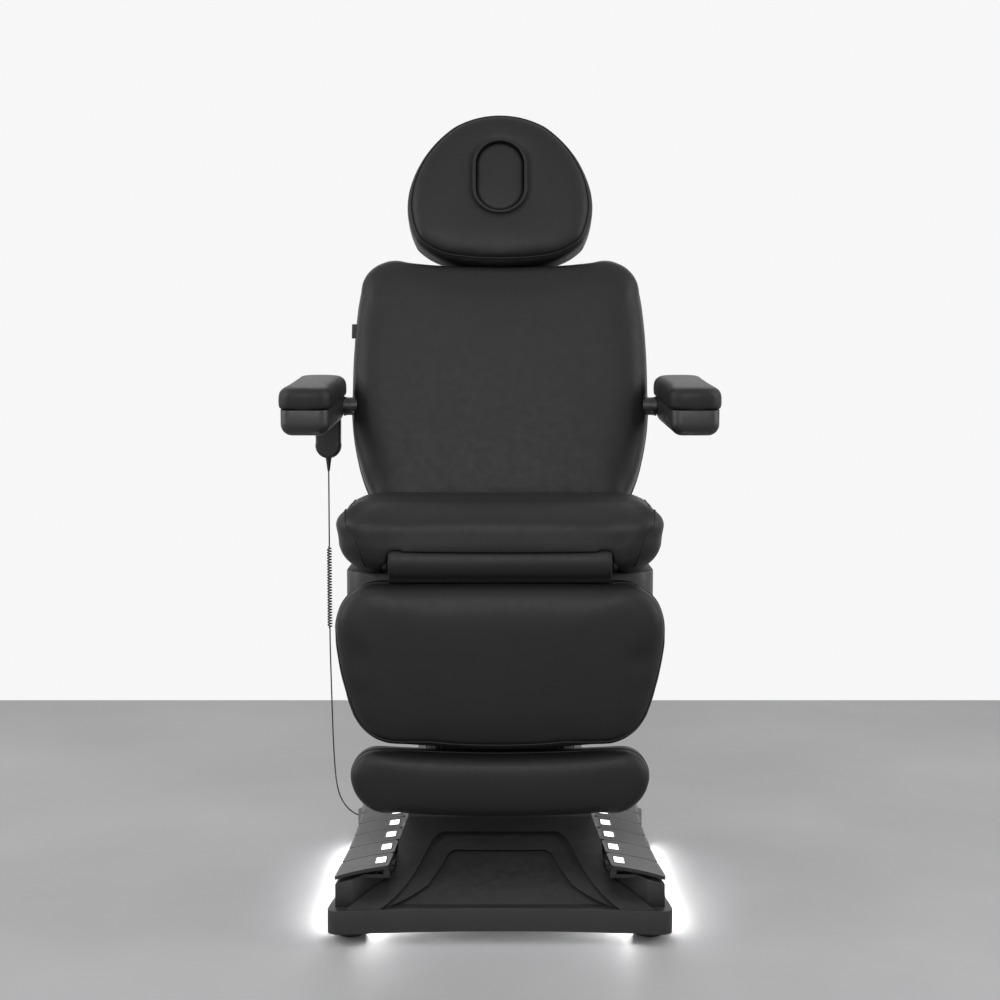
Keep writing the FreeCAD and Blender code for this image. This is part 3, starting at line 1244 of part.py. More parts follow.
def curl_path():
    """The curls of the handset cord: straight ends, then a helix of half-turn biarcs."""
    x, y, radius = -num(d.handset_x), num(d.cord_y), num(d.curl_radius)
    high, low, lead = num(d.curl_top), num(d.curl_bottom), num(d.cord_radius) * 2
    turns = int(num(d.curl_turns))
    top, bottom = high - lead * 3, low + lead * 3
    drop = (top - bottom) / turns
    down = Vector(0, 0, -1)
    stations = [(Vector(x, y, high - lead), down)]
    for step in range(turns * 2 + 1):
        angle = math.pi * step
        out = Vector(math.cos(angle), math.sin(angle), 0)
        heading = Vector(-out.y, out.x, -drop / (2 * math.pi * radius)).normalize()
        stations.append((Vector(x, y, top - drop * step / 2) + out * radius, heading))
    stations.append((Vector(x, y, low + lead), down))
    edges = [line((x, y, high), (x, y, high - lead))]
    for (start, heading), (end, leaving) in zip(stations, stations[1:]):
        edges += biarc(start, heading, end, leaving)
    edges.append(line((x, y, low + lead), (x, y, low)))
    return Part.Wire(Part.__sortEdges__(edges))


def least_gap(path, thickness, spacing):
    """Smallest clear distance between stretches of a tube that are not neighbours along it."""
    count = int(path.Length / spacing)
    spots = path.discretize(Number=count)
    apart = int(math.pi * num(d.curl_radius) / spacing)
    nearest = min(spots[i].distanceToPoint(spots[j]) for i in range(count)
                  for j in range(i + apart, min(i + apart * 4, count)))
    return nearest - thickness


def cord_curl():
    path = curl_path()
    print("cord_curl least gap to itself %.2f" % least_gap(path, num(d.cord_radius) * 2, 0.5))
    return node("cord_curl", cord_tube("cord_curl", path))


# Assembly

def build():
    base_frame()
    base_cover()
    levelling_feet()
    underglow_strips()
    mains_inlet()
    slab = pedal_slab()
    for index in range(int(num(d.pedal_count))):
        pedal(index, slab)
    pedal_tray()
    pedal_lights()
    pedal_pins()
    lift_column()
    lift_shroud()
    lift_head()
    drives_below()
    seat_frame()
    seat_hinge_pins()
    seat_cover()
    seat_drive("leg_actuator", -1)
    seat_drive("back_actuator", 1)
    seat_cushion()
    leg_frame()
    leg_cushion()
    leg_bolster()
    foot_slide()
    foot_cushion()
    back_frame()
    back_cushion()
    back_shell()
    arm_spindles()
    headrest_bracket()
    headrest_board()
    headrest_cushion()
    face_plug()
    arm_shell()
    arm_pad()
    handset()
    handset_keypad()
    cord_gland()
    cord_upper()
    cord_curl()
    cord_lower()
    doc.recompute()


def write_parts():
    """Refuse a failed or open piece, then write each sub-part."""
    for obj in doc.Objects:
        if "Invalid" in obj.State or "Error" in obj.State:
            raise RuntimeError("%s failed: %s" % (obj.Label, obj.State))
    for label, obj in nodes.items():
        if obj.Shape.isNull() or not obj.Shape.isValid() or not obj.Shape.Solids:
            raise RuntimeError("%s has no valid solid" % label)
    extent = FreeCAD.BoundBox()
    for obj in nodes.values():
        extent.add(obj.Shape.optimalBoundingBox(False, False))
    shift = Vector(-extent.Center.x, -extent.Center.y, -extent.ZMin)
    print("moved to the middle of the whole by", [round(value, 3) for value in shift])
    os.makedirs("parts", exist_ok=True)
    for label, obj in nodes.items():
        moved = obj.Shape.copy()
        moved.translate(shift)
        moved.exportStep("parts/%s.step" % label)
    print(len(nodes), "sub-parts written")


build()
write_parts()
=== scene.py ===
import json
import math

import bmesh
import bpy
import numpy as np
from mathutils import Matrix, Vector
from mathutils.bvhtree import BVHTree
from mathutils.kdtree import KDTree

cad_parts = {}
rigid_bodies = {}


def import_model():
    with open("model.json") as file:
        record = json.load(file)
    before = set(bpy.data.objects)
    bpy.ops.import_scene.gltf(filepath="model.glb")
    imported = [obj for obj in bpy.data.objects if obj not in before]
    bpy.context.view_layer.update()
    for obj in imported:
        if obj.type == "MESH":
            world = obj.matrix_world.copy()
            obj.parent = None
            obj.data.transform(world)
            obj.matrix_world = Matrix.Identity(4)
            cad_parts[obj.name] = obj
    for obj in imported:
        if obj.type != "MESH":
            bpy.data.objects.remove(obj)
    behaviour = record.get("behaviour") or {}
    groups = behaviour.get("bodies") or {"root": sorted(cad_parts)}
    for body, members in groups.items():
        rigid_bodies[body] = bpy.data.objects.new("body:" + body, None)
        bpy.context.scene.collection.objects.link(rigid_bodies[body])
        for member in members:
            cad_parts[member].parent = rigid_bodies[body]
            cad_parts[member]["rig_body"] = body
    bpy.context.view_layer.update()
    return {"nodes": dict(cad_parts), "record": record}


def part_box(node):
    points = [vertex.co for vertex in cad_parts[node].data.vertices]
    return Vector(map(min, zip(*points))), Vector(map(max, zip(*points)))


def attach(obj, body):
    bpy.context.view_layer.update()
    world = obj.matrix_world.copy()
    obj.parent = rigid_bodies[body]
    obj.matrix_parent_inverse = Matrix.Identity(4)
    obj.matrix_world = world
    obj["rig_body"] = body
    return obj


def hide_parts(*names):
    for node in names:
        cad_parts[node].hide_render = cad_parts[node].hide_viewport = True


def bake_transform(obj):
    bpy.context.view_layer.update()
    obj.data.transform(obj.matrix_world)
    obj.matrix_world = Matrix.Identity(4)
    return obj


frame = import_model()
nodes = frame["nodes"]
scene = bpy.context.scene

# The base is centred on this y; sizes below are measured from its middle, in millimetres.
base_low, base_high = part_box("base_frame")
MIDDLE = (base_low.y + base_high.y) / 2


def at(x, y, z):
    """A place in metres, from millimetres measured from the middle of the base."""
    return Vector((x / 1000, y / 1000 + MIDDLE, z / 1000))


# Backrest frame: up the slope and out of its face
SLOPE = math.radians(17)
UP = Vector((0, math.sin(SLOPE), math.cos(SLOPE)))
OUT = Vector((0, -math.cos(SLOPE), math.sin(SLOPE)))
ACROSS = Vector((1, 0, 0))
BACK_FOOT = at(0, 82, 752)


def lean(x, up, depth):
    """A place on the backrest: across it, up its slope, and behind its face."""
    return BACK_FOOT + ACROSS * (x / 1000) + UP * (up / 1000) - OUT * (depth / 1000)


# Stage, light and camera

def add_mesh(name, points, faces):
    mesh = bpy.data.meshes.new(name)
    mesh.from_pydata([tuple(p) for p in points], [], faces)
    mesh.update()
    obj = bpy.data.objects.new(name, mesh)
    scene.collection.objects.link(obj)
    return obj


def aim(obj, target):
    obj.rotation_euler = (Vector(target) - obj.location).to_track_quat("-Z", "Y").to_euler()


def lamp(name, place, target, size, power):
    data = bpy.data.lights.new(name, "AREA")
    data.shape = "RECTANGLE"
    data.size, data.size_y = size
    data.energy = power
    obj = bpy.data.objects.new(name, data)
    obj.location = place
    aim(obj, target)
    scene.collection.objects.link(obj)


# The lens in the photograph's pixels, and how far the horizon lies above the middle of the picture
FOCAL_PIXELS, HORIZON_PIXELS = 1700, 140
camera_data = bpy.data.cameras.new("camera")
camera_data.lens = 61.2
camera_data.sensor_width = 36
camera = bpy.data.objects.new("camera", camera_data)
camera.location = at(0, -3435, 1082)
camera.rotation_euler = (math.radians(90) - math.atan(HORIZON_PIXELS / FOCAL_PIXELS), 0, 0)
scene.collection.objects.link(camera)
scene.camera = camera
scene.view_settings.view_transform = "Standard"

lamp("key_light", (-0.4, -3.3, 2.3), (0, 0, 0.7), (2.6, 1.6), 52)
lamp("left_light", (-2.8, -0.4, 1.9), (0, 0, 0.8), (0.8, 2.4), 30)
lamp("right_light", (2.8, -0.4, 1.9), (0, 0, 0.8), (0.8, 2.4), 30)
lamp("rear_light", (0, 2.6, 2.6), (0, 0, 1.0), (2.4, 1.2), 8)


def world_light():
    world = bpy.data.worlds.new("studio")
    scene.world = world
    world.use_nodes = True
    tree = world.node_tree
    tree.nodes.clear()
    path = tree.nodes.new("ShaderNodeLightPath")
    seen = path.outputs["Is Camera Ray"]
    for kind in ("Is Glossy Ray", "Is Transmission Ray"):
        either = tree.nodes.new("ShaderNodeMath")
        either.operation = "MAXIMUM"
        tree.links.new(seen, either.inputs[0])
        tree.links.new(path.outputs[kind], either.inputs[1])
        seen = either.outputs[0]
    strength = tree.nodes.new("ShaderNodeMapRange")
    strength.inputs["To Min"].default_value = 0.5
    strength.inputs["To Max"].default_value = 0.93
    tree.links.new(seen, strength.inputs["Value"])
    back = tree.nodes.new("ShaderNodeBackground")
    back.inputs["Color"].default_value = (1, 1, 1, 1)
    tree.links.new(strength.outputs[0], back.inputs["Strength"])
    out = tree.nodes.new("ShaderNodeOutputWorld")
    tree.links.new(back.outputs[0], out.inputs["Surface"])


world_light()


# Materials

class Finish:
    """A principled material with helpers for the detail of its surface."""

    def __init__(self, name, color, roughness, metallic=0.0):
        self.mat = bpy.data.materials.new(name)
        self.mat.use_nodes = True
        self.tree = self.mat.node_tree
        self.shader = self.tree.nodes["Principled BSDF"]
        self.shader.inputs["Base Color"].default_value = (*color, 1)
        self.shader.inputs["Roughness"].default_value = roughness
        self.shader.inputs["Metallic"].default_value = metallic
        self.place = self.tree.nodes.new("ShaderNodeTexCoord")

    def noise(self, scale, detail=3.0, stretch=None):
        node = self.tree.nodes.new("ShaderNodeTexNoise")
        node.inputs["Scale"].default_value = scale
        node.inputs["Detail"].default_value = detail
        source = self.place.outputs["Object"]
        if stretch:
            mapping = self.tree.nodes.new("ShaderNodeMapping")
            mapping.inputs["Scale"].default_value = stretch
            self.tree.links.new(source, mapping.inputs["Vector"])
            source = mapping.outputs["Vector"]
        self.tree.links.new(source, node.inputs["Vector"])
        return node.outputs["Fac"]

    def cells(self, scale):
        node = self.tree.nodes.new("ShaderNodeTexVoronoi")
        node.inputs["Scale"].default_value = scale
        self.tree.links.new(self.place.outputs["Object"], node.inputs["Vector"])
        return node.outputs["Distance"]

    def tint(self, source, low, high):
        ramp = self.tree.nodes.new("ShaderNodeValToRGB")
        ramp.color_ramp.elements[0].position = 0.3
        ramp.color_ramp.elements[1].position = 0.7
        ramp.color_ramp.elements[0].color = (*low, 1)
        ramp.color_ramp.elements[1].color = (*high, 1)
        self.tree.links.new(source, ramp.inputs["Fac"])
        self.tree.links.new(ramp.outputs["Color"], self.shader.inputs["Base Color"])
        return self

    def vary_roughness(self, source, low, high):
        span = self.tree.nodes.new("ShaderNodeMapRange")
        span.inputs["From Min"].default_value = 0.3
        span.inputs["From Max"].default_value = 0.7
        span.inputs["To Min"].default_value = low
        span.inputs["To Max"].default_value = high
        self.tree.links.new(source, span.inputs["Value"])
        self.tree.links.new(span.outputs["Result"], self.shader.inputs["Roughness"])
        return self

    def bump(self, *layers):
        """Layers of (source, strength, depth in metres), each over the last."""
        last = None
        for source, strength, depth in layers:
            node = self.tree.nodes.new("ShaderNodeBump")
            node.inputs["Strength"].default_value = strength
            node.inputs["Distance"].default_value = depth
            self.tree.links.new(source, node.inputs["Height"])
            if last:
                self.tree.links.new(last, node.inputs["Normal"])
            last = node.outputs["Normal"]
        self.tree.links.new(last, self.shader.inputs["Normal"])
        return self

    def lit(self, strength):
        self.shader.inputs["Emission Color"].default_value = (1, 1, 1, 1)
        self.shader.inputs["Emission Strength"].default_value = strength
        return self


def grey(value):
    return (value, value, value * 1.02)


def vinyl_finish(name, low, high, grain):
    f = Finish(name, grey(low), 0.5)
    f.shader.inputs["Specular IOR Level"].default_value = 0.27
    f.tint(f.noise(9), grey(low), grey(high))
    f.vary_roughness(f.noise(60), 0.47, 0.54)
    return f.bump((f.cells(grain), 0.16, 0.0004), (f.noise(grain * 0.35), 0.12, 0.0005)).mat


def moulded_finish(name, low, high, rough, grain, strength):
    f = Finish(name, grey(low), rough)
    f.tint(f.noise(11), grey(low), grey(high))
    f.vary_roughness(f.noise(70), rough - 0.05, rough + 0.06)
    return f.bump((f.noise(grain, 2), strength, 0.0003)).mat


def floor_finish():
    f = Finish("floor_grey", grey(0.40), 0.6)
    f.tint(f.noise(1.6, 8), grey(0.37), grey(0.43))
    return f.bump((f.noise(90, 4), 0.08, 0.001)).mat


def metal_finish(name, low, high, rough, metallic):
    f = Finish(name, grey(low), rough, metallic)
    f.tint(f.noise(30), grey(low), grey(high))
    f.vary_roughness(f.noise(60, 4, (1, 1, 14)), rough - 0.06, rough + 0.1)
    return f.bump((f.noise(420, 2), 0.1, 0.0003)).mat


def light_finish(name, strength):
    f = Finish(name, grey(0.9), 0.35)
    f.tint(f.noise(60), grey(0.86), grey(0.94))
    return f.lit(strength).mat


vinyl = vinyl_finish("vinyl_black", 0.0085, 0.0100, 820)
piping_vinyl = vinyl_finish("piping_black", 0.0055, 0.0070, 1200)
arm_plastic = moulded_finish("arm_plastic", 0.014, 0.017, 0.44, 1500, 0.2)
base_plastic = moulded_finish("base_plastic", 0.016, 0.020, 0.46, 1300, 0.22)
# Darker than the base plastic: painted shade for the shadowed gaps round the pedals, used on the trays and on
# the pedals' sides
painted_shade_plastic = moulded_finish("painted_shade_plastic", 0.010, 0.013, 0.5, 1300, 0.2)
sleeve_plastic = moulded_finish("sleeve_plastic", 0.009, 0.012, 0.4, 1500, 0.15)
grip = moulded_finish("pedal_grip", 0.135, 0.16, 0.6, 900, 0.3)
dark_steel = metal_finish("powder_steel", 0.02, 0.028, 0.5, 0.3)
bright_steel = metal_finish("bright_steel", 0.5, 0.58, 0.32, 1.0)
plywood = moulded_finish("stained_board", 0.024, 0.034, 0.6, 240, 0.3)
rubber = moulded_finish("foot_rubber", 0.014, 0.02, 0.75, 700, 0.4)
membrane = moulded_finish("keypad_membrane", 0.03, 0.036, 0.4, 900, 0.15)
key_rubber = moulded_finish("key_rubber", 0.16, 0.19, 0.5, 1400, 0.15)
pedal_light = light_finish("pedal_light", 2.2)
glow = light_finish("underglow", 130)

by_slot = {
    "upholstery": vinyl, "arm_plastic": arm_plastic, "base_plastic": base_plastic, "pedal_grip": grip,
    "light": pedal_light, "dark_steel": dark_steel, "bright_steel": bright_steel, "board": plywood,
    "foot_rubber": rubber, "keypad": membrane, "cord": rubber,
}
slot_of = {part["node"]: part["material_slot"] for part in frame["record"]["subparts"]}
body_of = {node: body for body, members in frame["record"]["behaviour"]["bodies"].items() for node in members}


def paint(obj, mat):
    obj.data.materials.clear()
    obj.data.materials.append(mat)


for node, obj in nodes.items():
    paint(obj, by_slot[slot_of[node]])
paint(nodes["underglow_strips"], glow)
for name in ("arm_spindles", "pedal_pins", "seat_hinge_pins"):
    paint(nodes[name], dark_steel)
# The trays get the darker plastic, as painted shade in the gaps round the pedals
for side in ("left", "right"):
    paint(nodes["pedal_tray_" + side], painted_shade_plastic)

FLOOR_END, FLOOR_REACH, FLOOR_DROP = at(0, 1922, 0).y, 9, 0.0005
floor_corners = [(-FLOOR_REACH, -FLOOR_REACH), (FLOOR_REACH, -FLOOR_REACH),
                 (FLOOR_REACH, FLOOR_END), (-FLOOR_REACH, FLOOR_END)]
floor = add_mesh("floor", [(x, y, -FLOOR_DROP) for x, y in floor_corners], [(0, 1, 2, 3)])
paint(floor, floor_finish())


# Shared mesh work

def sharpen(mesh, angle):
    """Smooth shading that stays crisp over edges steeper than the angle."""
    work = bmesh.new()
    work.from_mesh(mesh)
    for face in work.faces:
        face.smooth = True
    limit = math.radians(angle)
    for edge in work.edges:
        edge.smooth = len(edge.link_faces) == 2 and edge.calc_face_angle(0) < limit
    work.to_mesh(mesh)
    work.free()


def settle(obj):
    """Apply the object's modifiers."""
    graph = bpy.context.evaluated_depsgraph_get()
    mesh = bpy.data.meshes.new_from_object(obj.evaluated_get(graph))
    obj.modifiers.clear()
    obj.data = mesh


def stand_in(obj, node):
    """Let a piece stand for a CAD node and move with its body."""
    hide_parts(node)
    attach(obj, body_of[node])
    return obj


def copy_of(node, name):
    obj = bpy.data.objects.new(name, nodes[node].data.copy())
    scene.collection.objects.link(obj)
    return obj


def eased(node, width, segments=2, angle=28, mat=None, flat=1.0):
    """A rigid CAD form with its edges broken, as moulded and pressed parts have them."""
    obj = copy_of(node, node + "_eased")
    work = bmesh.new()
    work.from_mesh(obj.data)
    bmesh.ops.remove_doubles(work, verts=work.verts, dist=1e-6)
    bmesh.ops.dissolve_limit(work, angle_limit=math.radians(flat), verts=work.verts, edges=work.edges)
    work.to_mesh(obj.data)
    work.free()
    bevel = obj.modifiers.new("edges", "BEVEL")
    bevel.width = width
    bevel.segments = segments
    bevel.limit_method = "ANGLE"
    bevel.angle_limit = math.radians(angle)
    settle(obj)
    sharpen(obj.data, 40)
    paint(obj, mat or by_slot[slot_of[node]])
    return stand_in(obj, node)


def tube(name, line, radius, closed, mat, sides=8):
    """A round tube along a line, with rings carried along without twist."""
    count = len(line)
    points, faces = [], []
    side = None
    for i, place in enumerate(line):
        before = line[i - 1] if closed or i else line[0]
        after = line[(i + 1) % count] if closed or i < count - 1 else line[-1]
        ahead = (after - before).normalized()
        if side is None:
            side = ahead.orthogonal().normalized()
        side = (side - ahead * side.dot(ahead)).normalized()
        other = ahead.cross(side)
        for k in range(sides):
            turn = 2 * math.pi * k / sides
            points.append(place + (side * math.cos(turn) + other * math.sin(turn)) * radius)
    for i in range(count if closed else count - 1):
        for k in range(sides):
            a, b = i * sides, (i + 1) % count * sides
            faces.append((a + k, a + (k + 1) % sides, b + (k + 1) % sides, b + k))
    if not closed:
        faces += [tuple(range(sides))[::-1], tuple(range((count - 1) * sides, count * sides))]
    obj = add_mesh(name, points, faces)
    for face in obj.data.polygons:
        face.use_smooth = True
    paint(obj, mat)
    return obj


def spaced(line, step, closed):
    """The same line with its points a step apart."""
    path = list(line) + ([line[0]] if closed else [])
    total = sum((b - a).length for a, b in zip(path, path[1:]))
    count = max(4, round(total / step))
    gap, made, walked, target = total / count, [], 0.0, 0.0
    for a, b in zip(path, path[1:]):
        length = (b - a).length
        while target <= walked + length + 1e-9 and len(made) < count:
            made.append(a.lerp(b, (target - walked) / max(length, 1e-9)))
            target += gap
        walked += length
    return made if closed else made + [path[-1]]


def smoothed(line, rounds, closed):
    """The line with each point drawn towards its neighbours, a few times over."""
    for _ in range(rounds):
        last = len(line) - 1
        line = [p if not closed and i in (0, last) else (line[i - 1] + p * 2 + line[(i + 1) % len(line)]) / 4
                for i, p in enumerate(line)]
    return line


def eased_step(share):
    """Nought below 0 and one above 1, with an even bend between."""
    share = max(0.0, min(1.0, share))
    return share * share * (3 - 2 * share)


def section(obj, place, normal):
    """The longest line along which a plane cuts an object's surface, in order."""
    work = bmesh.new()
    work.from_mesh(obj.data)
    whole = work.verts[:] + work.edges[:] + work.faces[:]
    cut = bmesh.ops.bisect_plane(work, geom=whole, plane_co=place, plane_no=normal)
    edges = [g for g in cut["geom_cut"] if isinstance(g, bmesh.types.BMEdge)]
    work.verts.ensure_lookup_table()
    work.verts.index_update()
    links = {}
    for edge in edges:
        a, b = edge.verts
        links.setdefault(a.index, []).append(b.index)
        links.setdefault(b.index, []).append(a.index)
    places = {i: work.verts[i].co.copy() for i in links}
    work.free()
    best, left = [], set(links)
    while left:
        start = next((i for i in left if len(links[i]) == 1), next(iter(left)))
        chain = [start]
        left.discard(start)
        while True:
            step = next((n for n in links[chain[-1]] if n in left), None)
            if step is None:
                break
            chain.append(step)
            left.discard(step)
        if len(chain) > len(best):
            best = chain
    return [places[i] for i in best]


def surface_of(obj):
    """A search tree of an object's faces."""
    points = [vert.co for vert in obj.data.vertices]
    return BVHTree.FromPolygons(points, [tuple(face.vertices) for face in obj.data.polygons])


RAY_START = 0.2


def face_of(obj, place, out):
    """How far in front of a place an object's surface is, seen square on."""
    hit = surface_of(obj).ray_cast(place + out * RAY_START, -out)[0]
    return (hit - place).dot(out)


def groove(obj, line, width, depth):
    """Draw the surface in along a seam."""
    tree = KDTree(len(line))
    for i, place in enumerate(line):
        tree.insert(place, i)
    tree.balance()
    for vert in obj.data.vertices:
        near = tree.find(vert.co)[2]
        if near < width:
            vert.co -= vert.normal * depth * (1 - (near / width) ** 2) ** 2
    obj.data.update()


def piped(name, pad, line, closed, radius=0.0021, sink=0.0012, depth=0.0024, width=0.009):
    """A sewn seam: the pad drawn in, with a thin piping along it."""
    path = smoothed(spaced(line, 0.004, closed), 4, closed)
    groove(pad, path, width, depth)
    tree = surface_of(pad)
    seated = []
    for place in path:
        spot, normal = tree.find_nearest(place)[:2]
        seated.append(spot + normal * (radius - sink))
    obj = tube(name, smoothed(seated, 2, closed), radius, closed, piping_vinyl)
    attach(obj, pad["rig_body"])


def turned(name, place, axis, profile, mat, sides=32):
    """A turned piece: profile holds (distance along the axis, radius) pairs in millimetres."""
    side = axis.orthogonal().normalized()
    other = axis.cross(side)
    points, faces = [], []
    for along, radius in profile:
        for k in range(sides):
            turn = 2 * math.pi * k / sides
            ring = side * math.cos(turn) + other * math.sin(turn)
            points.append(place + axis * (along / 1000) + ring * (radius / 1000))
    for i in range(len(profile) - 1):
        for k in range(sides):
            a, b, step = i * sides + k, (i + 1) * sides + k, (k + 1) % sides - k
            faces.append((a, a + step, b + step, b))
    last = (len(profile) - 1) * sides
    faces += [tuple(range(sides))[::-1], tuple(range(last, last + sides))]
    obj = add_mesh(name, points, faces)
    sharpen(obj.data, 35)
    paint(obj, mat)
    return obj


def joined(name, pieces):
    """Several meshes as one object."""
    work = bmesh.new()
    for piece in pieces:
        work.from_mesh(piece.data)
    mesh = bpy.data.meshes.new(name)
    work.to_mesh(mesh)
    work.free()
    obj = bpy.data.objects.new(name, mesh)
    scene.collection.objects.link(obj)
    paint(obj, pieces[0].data.materials[0])
    for piece in pieces:
        bpy.data.objects.remove(piece)
    return obj


def fixed_to(obj, body):
    """Let a small piece move with a body."""
    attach(obj, body)


# Cushions: each is blown up as cloth over its own form

CLOTH_FRAMES, EVENING_ROUNDS = 20, 14


def under(height):
    """Holds the part of a pad below a height in millimetres."""
    return lambda place: place.z < height / 1000


def behind(y):
    """Holds the part of a pad behind a line across the chair."""
    limit = at(0, y, 0).y
    return lambda place: place.y > limit


def deeper(depth):
    """Holds the part of a pad more than this far behind the face of the backrest."""
    return lambda place: (BACK_FOOT - place).dot(OUT) > depth / 1000


def evened(moves, mesh, still, rounds):
    """Moves of a mesh's points, each drawn towards those of its neighbours."""
    ends = np.array([tuple(edge.vertices) for edge in mesh.edges])
    shared = np.bincount(ends.ravel(), minlength=len(moves))[:, None]
    for _ in range(rounds):
        total = np.zeros_like(moves)
        np.add.at(total, ends[:, 0], moves[ends[:, 1]])
        np.add.at(total, ends[:, 1], moves[ends[:, 0]])
        moves = (moves + total / shared) / 2
        moves[still] = 0
    return moves


def blown(obj, still, pressure):
    """How far each point of a pad moves when its cover is filled."""
    group = obj.vertex_groups.new(name="held")
    group.add([i for i, held in enumerate(still) if held], 1.0, "REPLACE")
    cloth = obj.modifiers.new("cloth", "CLOTH")
    settings = cloth.settings
    settings.quality = 4
    settings.mass = 0.3
    settings.tension_stiffness = settings.compression_stiffness = 12
    settings.shear_stiffness = 6
    settings.bending_stiffness = 1.0
    settings.use_pressure = True
    settings.uniform_pressure_force = pressure
    settings.vertex_group_mass = "held"
    settings.effector_weights.gravity = 0
    cloth.collision_settings.use_collision = False
    cloth.collision_settings.use_self_collision = False
    first = np.array([tuple(v.co) for v in obj.data.vertices])
    for step in range(1, CLOTH_FRAMES + 1):
        scene.frame_set(step)
    graph = bpy.context.evaluated_depsgraph_get()
    last = np.array([tuple(v.co) for v in obj.evaluated_get(graph).data.vertices])
    obj.modifiers.clear()
    scene.frame_set(1)
    return last - first


def cushion(node, voxel, crown, fixed, tilt=0.0, grown=(1.0, 1.0), pressure=4.0, shaped=None):
    """A padded cover for a CAD node, remeshed in a frame turned by the tilt.

    fixed(place) holds the part that lies on the board, and crown limits how far the rest rises.
    grown draws the form out in width and height, and shaped(place) moves its points, before it is filled.
    """
    obj = copy_of(node, node.replace("_cushion", "") + "_upholstery")
    square = Matrix.Rotation(tilt, 4, "X")
    obj.data.transform(square)
    low, high = (Vector(map(pick, zip(*(v.co for v in obj.data.vertices)))) for pick in (min, max))
    middle = (low + high) / 2
    for vert in obj.data.vertices:
        vert.co.x = middle.x + (vert.co.x - middle.x) * grown[0]
        vert.co.z = middle.z + (vert.co.z - middle.z) * grown[1]
    remesh = obj.modifiers.new("even", "REMESH")
    remesh.mode = "VOXEL"
    remesh.voxel_size = voxel
    ease = obj.modifiers.new("ease", "SMOOTH")
    ease.factor = 0.5
    ease.iterations = 4
    settle(obj)
    mesh = obj.data
    mesh.transform(square.inverted())
    if shaped:
        for vert in mesh.vertices:
            vert.co = shaped(vert.co)
    still = np.array([fixed(v.co) for v in mesh.vertices])
    moves = blown(obj, still, pressure)
    moves *= crown / (crown + np.linalg.norm(moves, axis=1, keepdims=True))
    for vert, move in zip(mesh.vertices, evened(moves, mesh, still, EVENING_ROUNDS)):
        vert.co += Vector(move)
    mesh.update()
    for face in mesh.polygons:
        face.use_smooth = True
    paint(obj, vinyl)
    stand_in(obj, node)
    return obj


def finer(obj):
    """One subdivision, once the seams are drawn in."""
    obj.modifiers.new("fine", "SUBSURF").levels = 1
    obj.modifiers["fine"].render_levels = 1
    settle(obj)
    for face in obj.data.polygons:
        face.use_smooth = True


# Handset cord: one route, with its curls wound round the middle of it

ROUTE = [(-371, 240, 842), (-371, 240, 760), (-371, 240, 680), (-371, 240, 590), (-371, 240, 497),
         (-371, 240, 457), (-372, 305, 215), (-369, 342, 118), (-355, 368, 72), (-330, 392, 42),
         (-302, 408, 34), (-278, 412, 36), (-262, 402, 39.5), (-262, 387, 40)]
CURL_TOP, CURL_END, CURL_RADIUS, CURL_TURNS = 0.680, 0.497, 0.0042, 30
# The curls reach their full radius within one part in this many of their length, from each end
CURL_EASING = 24
CORD_RADIUS, TOP_STRETCH_END = 0.0015, 0.758
ROUTE_STEP, CORD_STEP, CURL_STEP = 0.0005, 0.004, 0.0011


def route_line():
    """The points of the route's smooth curve, from the handset down."""
    curve = bpy.data.curves.new("route", "CURVE")
    curve.dimensions = "3D"
    curve.resolution_u = 24
    spline = curve.splines.new("NURBS")
    spline.points.add(len(ROUTE) - 1)
    for point, place in zip(spline.points, ROUTE):
        point.co = (*at(*place), 1)
    spline.order_u = 3
    spline.use_endpoint_u = True
    obj = bpy.data.objects.new("route", curve)
    scene.collection.objects.link(obj)
    graph = bpy.context.evaluated_depsgraph_get()
    mesh = bpy.data.meshes.new_from_object(obj.evaluated_get(graph))
    line = [v.co.copy() for v in mesh.vertices]
    bpy.data.objects.remove(obj)
    bpy.data.meshes.remove(mesh)
    return line if line[0].z > line[-1].z else line[::-1]


def curled(line):
    """The line with its stretch between the two heights wound into curls."""
    made = []
    for place in spaced(line, ROUTE_STEP, False):
        share = (CURL_TOP - place.z) / (CURL_TOP - CURL_END)
        if 0 < share < 1:
            grown = eased_step(min(share, 1 - share) * CURL_EASING)
            turn = 2 * math.pi * CURL_TURNS * share
            place = place + Vector((math.cos(turn), math.sin(turn), 0)) * (CURL_RADIUS * grown)
        made.append(place)
    return made


def cord_stretch(name, line, step, node):
    """One stretch of the cord, as a tube in place of its CAD node."""
    path = spaced(line, step, False)
    obj = tube(name, path, CORD_RADIUS, False, rubber)
    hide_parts(node)
    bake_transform(obj)


def handset_cord():
    line = curled(route_line())
    top = [p for p in line if p.z >= TOP_STRETCH_END]
    upper = [p for p in line if CURL_TOP <= p.z <= top[-1].z]
    first = next(i for i, p in enumerate(line) if p.z < CURL_TOP) - 1
    last = next(i for i, p in enumerate(line) if p.z < CURL_END)
    cord_stretch("handset_cord_top", top, CORD_STEP, "cord_upper")
    cord_stretch("handset_cord_upper", upper, CORD_STEP, "cord_upper")
    cord_stretch("handset_cord_curl", line[first:last + 1], CURL_STEP, "cord_curl")
    cord_stretch("handset_cord_lower", line[last:], CORD_STEP, "cord_lower")


# Seat

SEAT_SEAM = [(286, 52, 783), (288, -20, 788), (290, -110, 789), (290, -190, 788), (288, -240, 782),
             (284, -268, 768), (277, -282, 746), (268, -285, 722), (261, -278, 700), (258, -262, 684)]
SEAT_BULGE, BULGE_FOOT, BULGE_RISE, BULGE_INNER, BULGE_SPREAD = 0.013, 0.735, 0.06, 0.15, 0.15


def fuller(place):
    """The seat's upper side edges drawn outwards."""
    rise = eased_step((place.z - BULGE_FOOT) / BULGE_RISE)
    spread = eased_step((abs(place.x) - BULGE_INNER) / BULGE_SPREAD)
    return place + ACROSS * math.copysign(SEAT_BULGE * rise * spread, place.x)


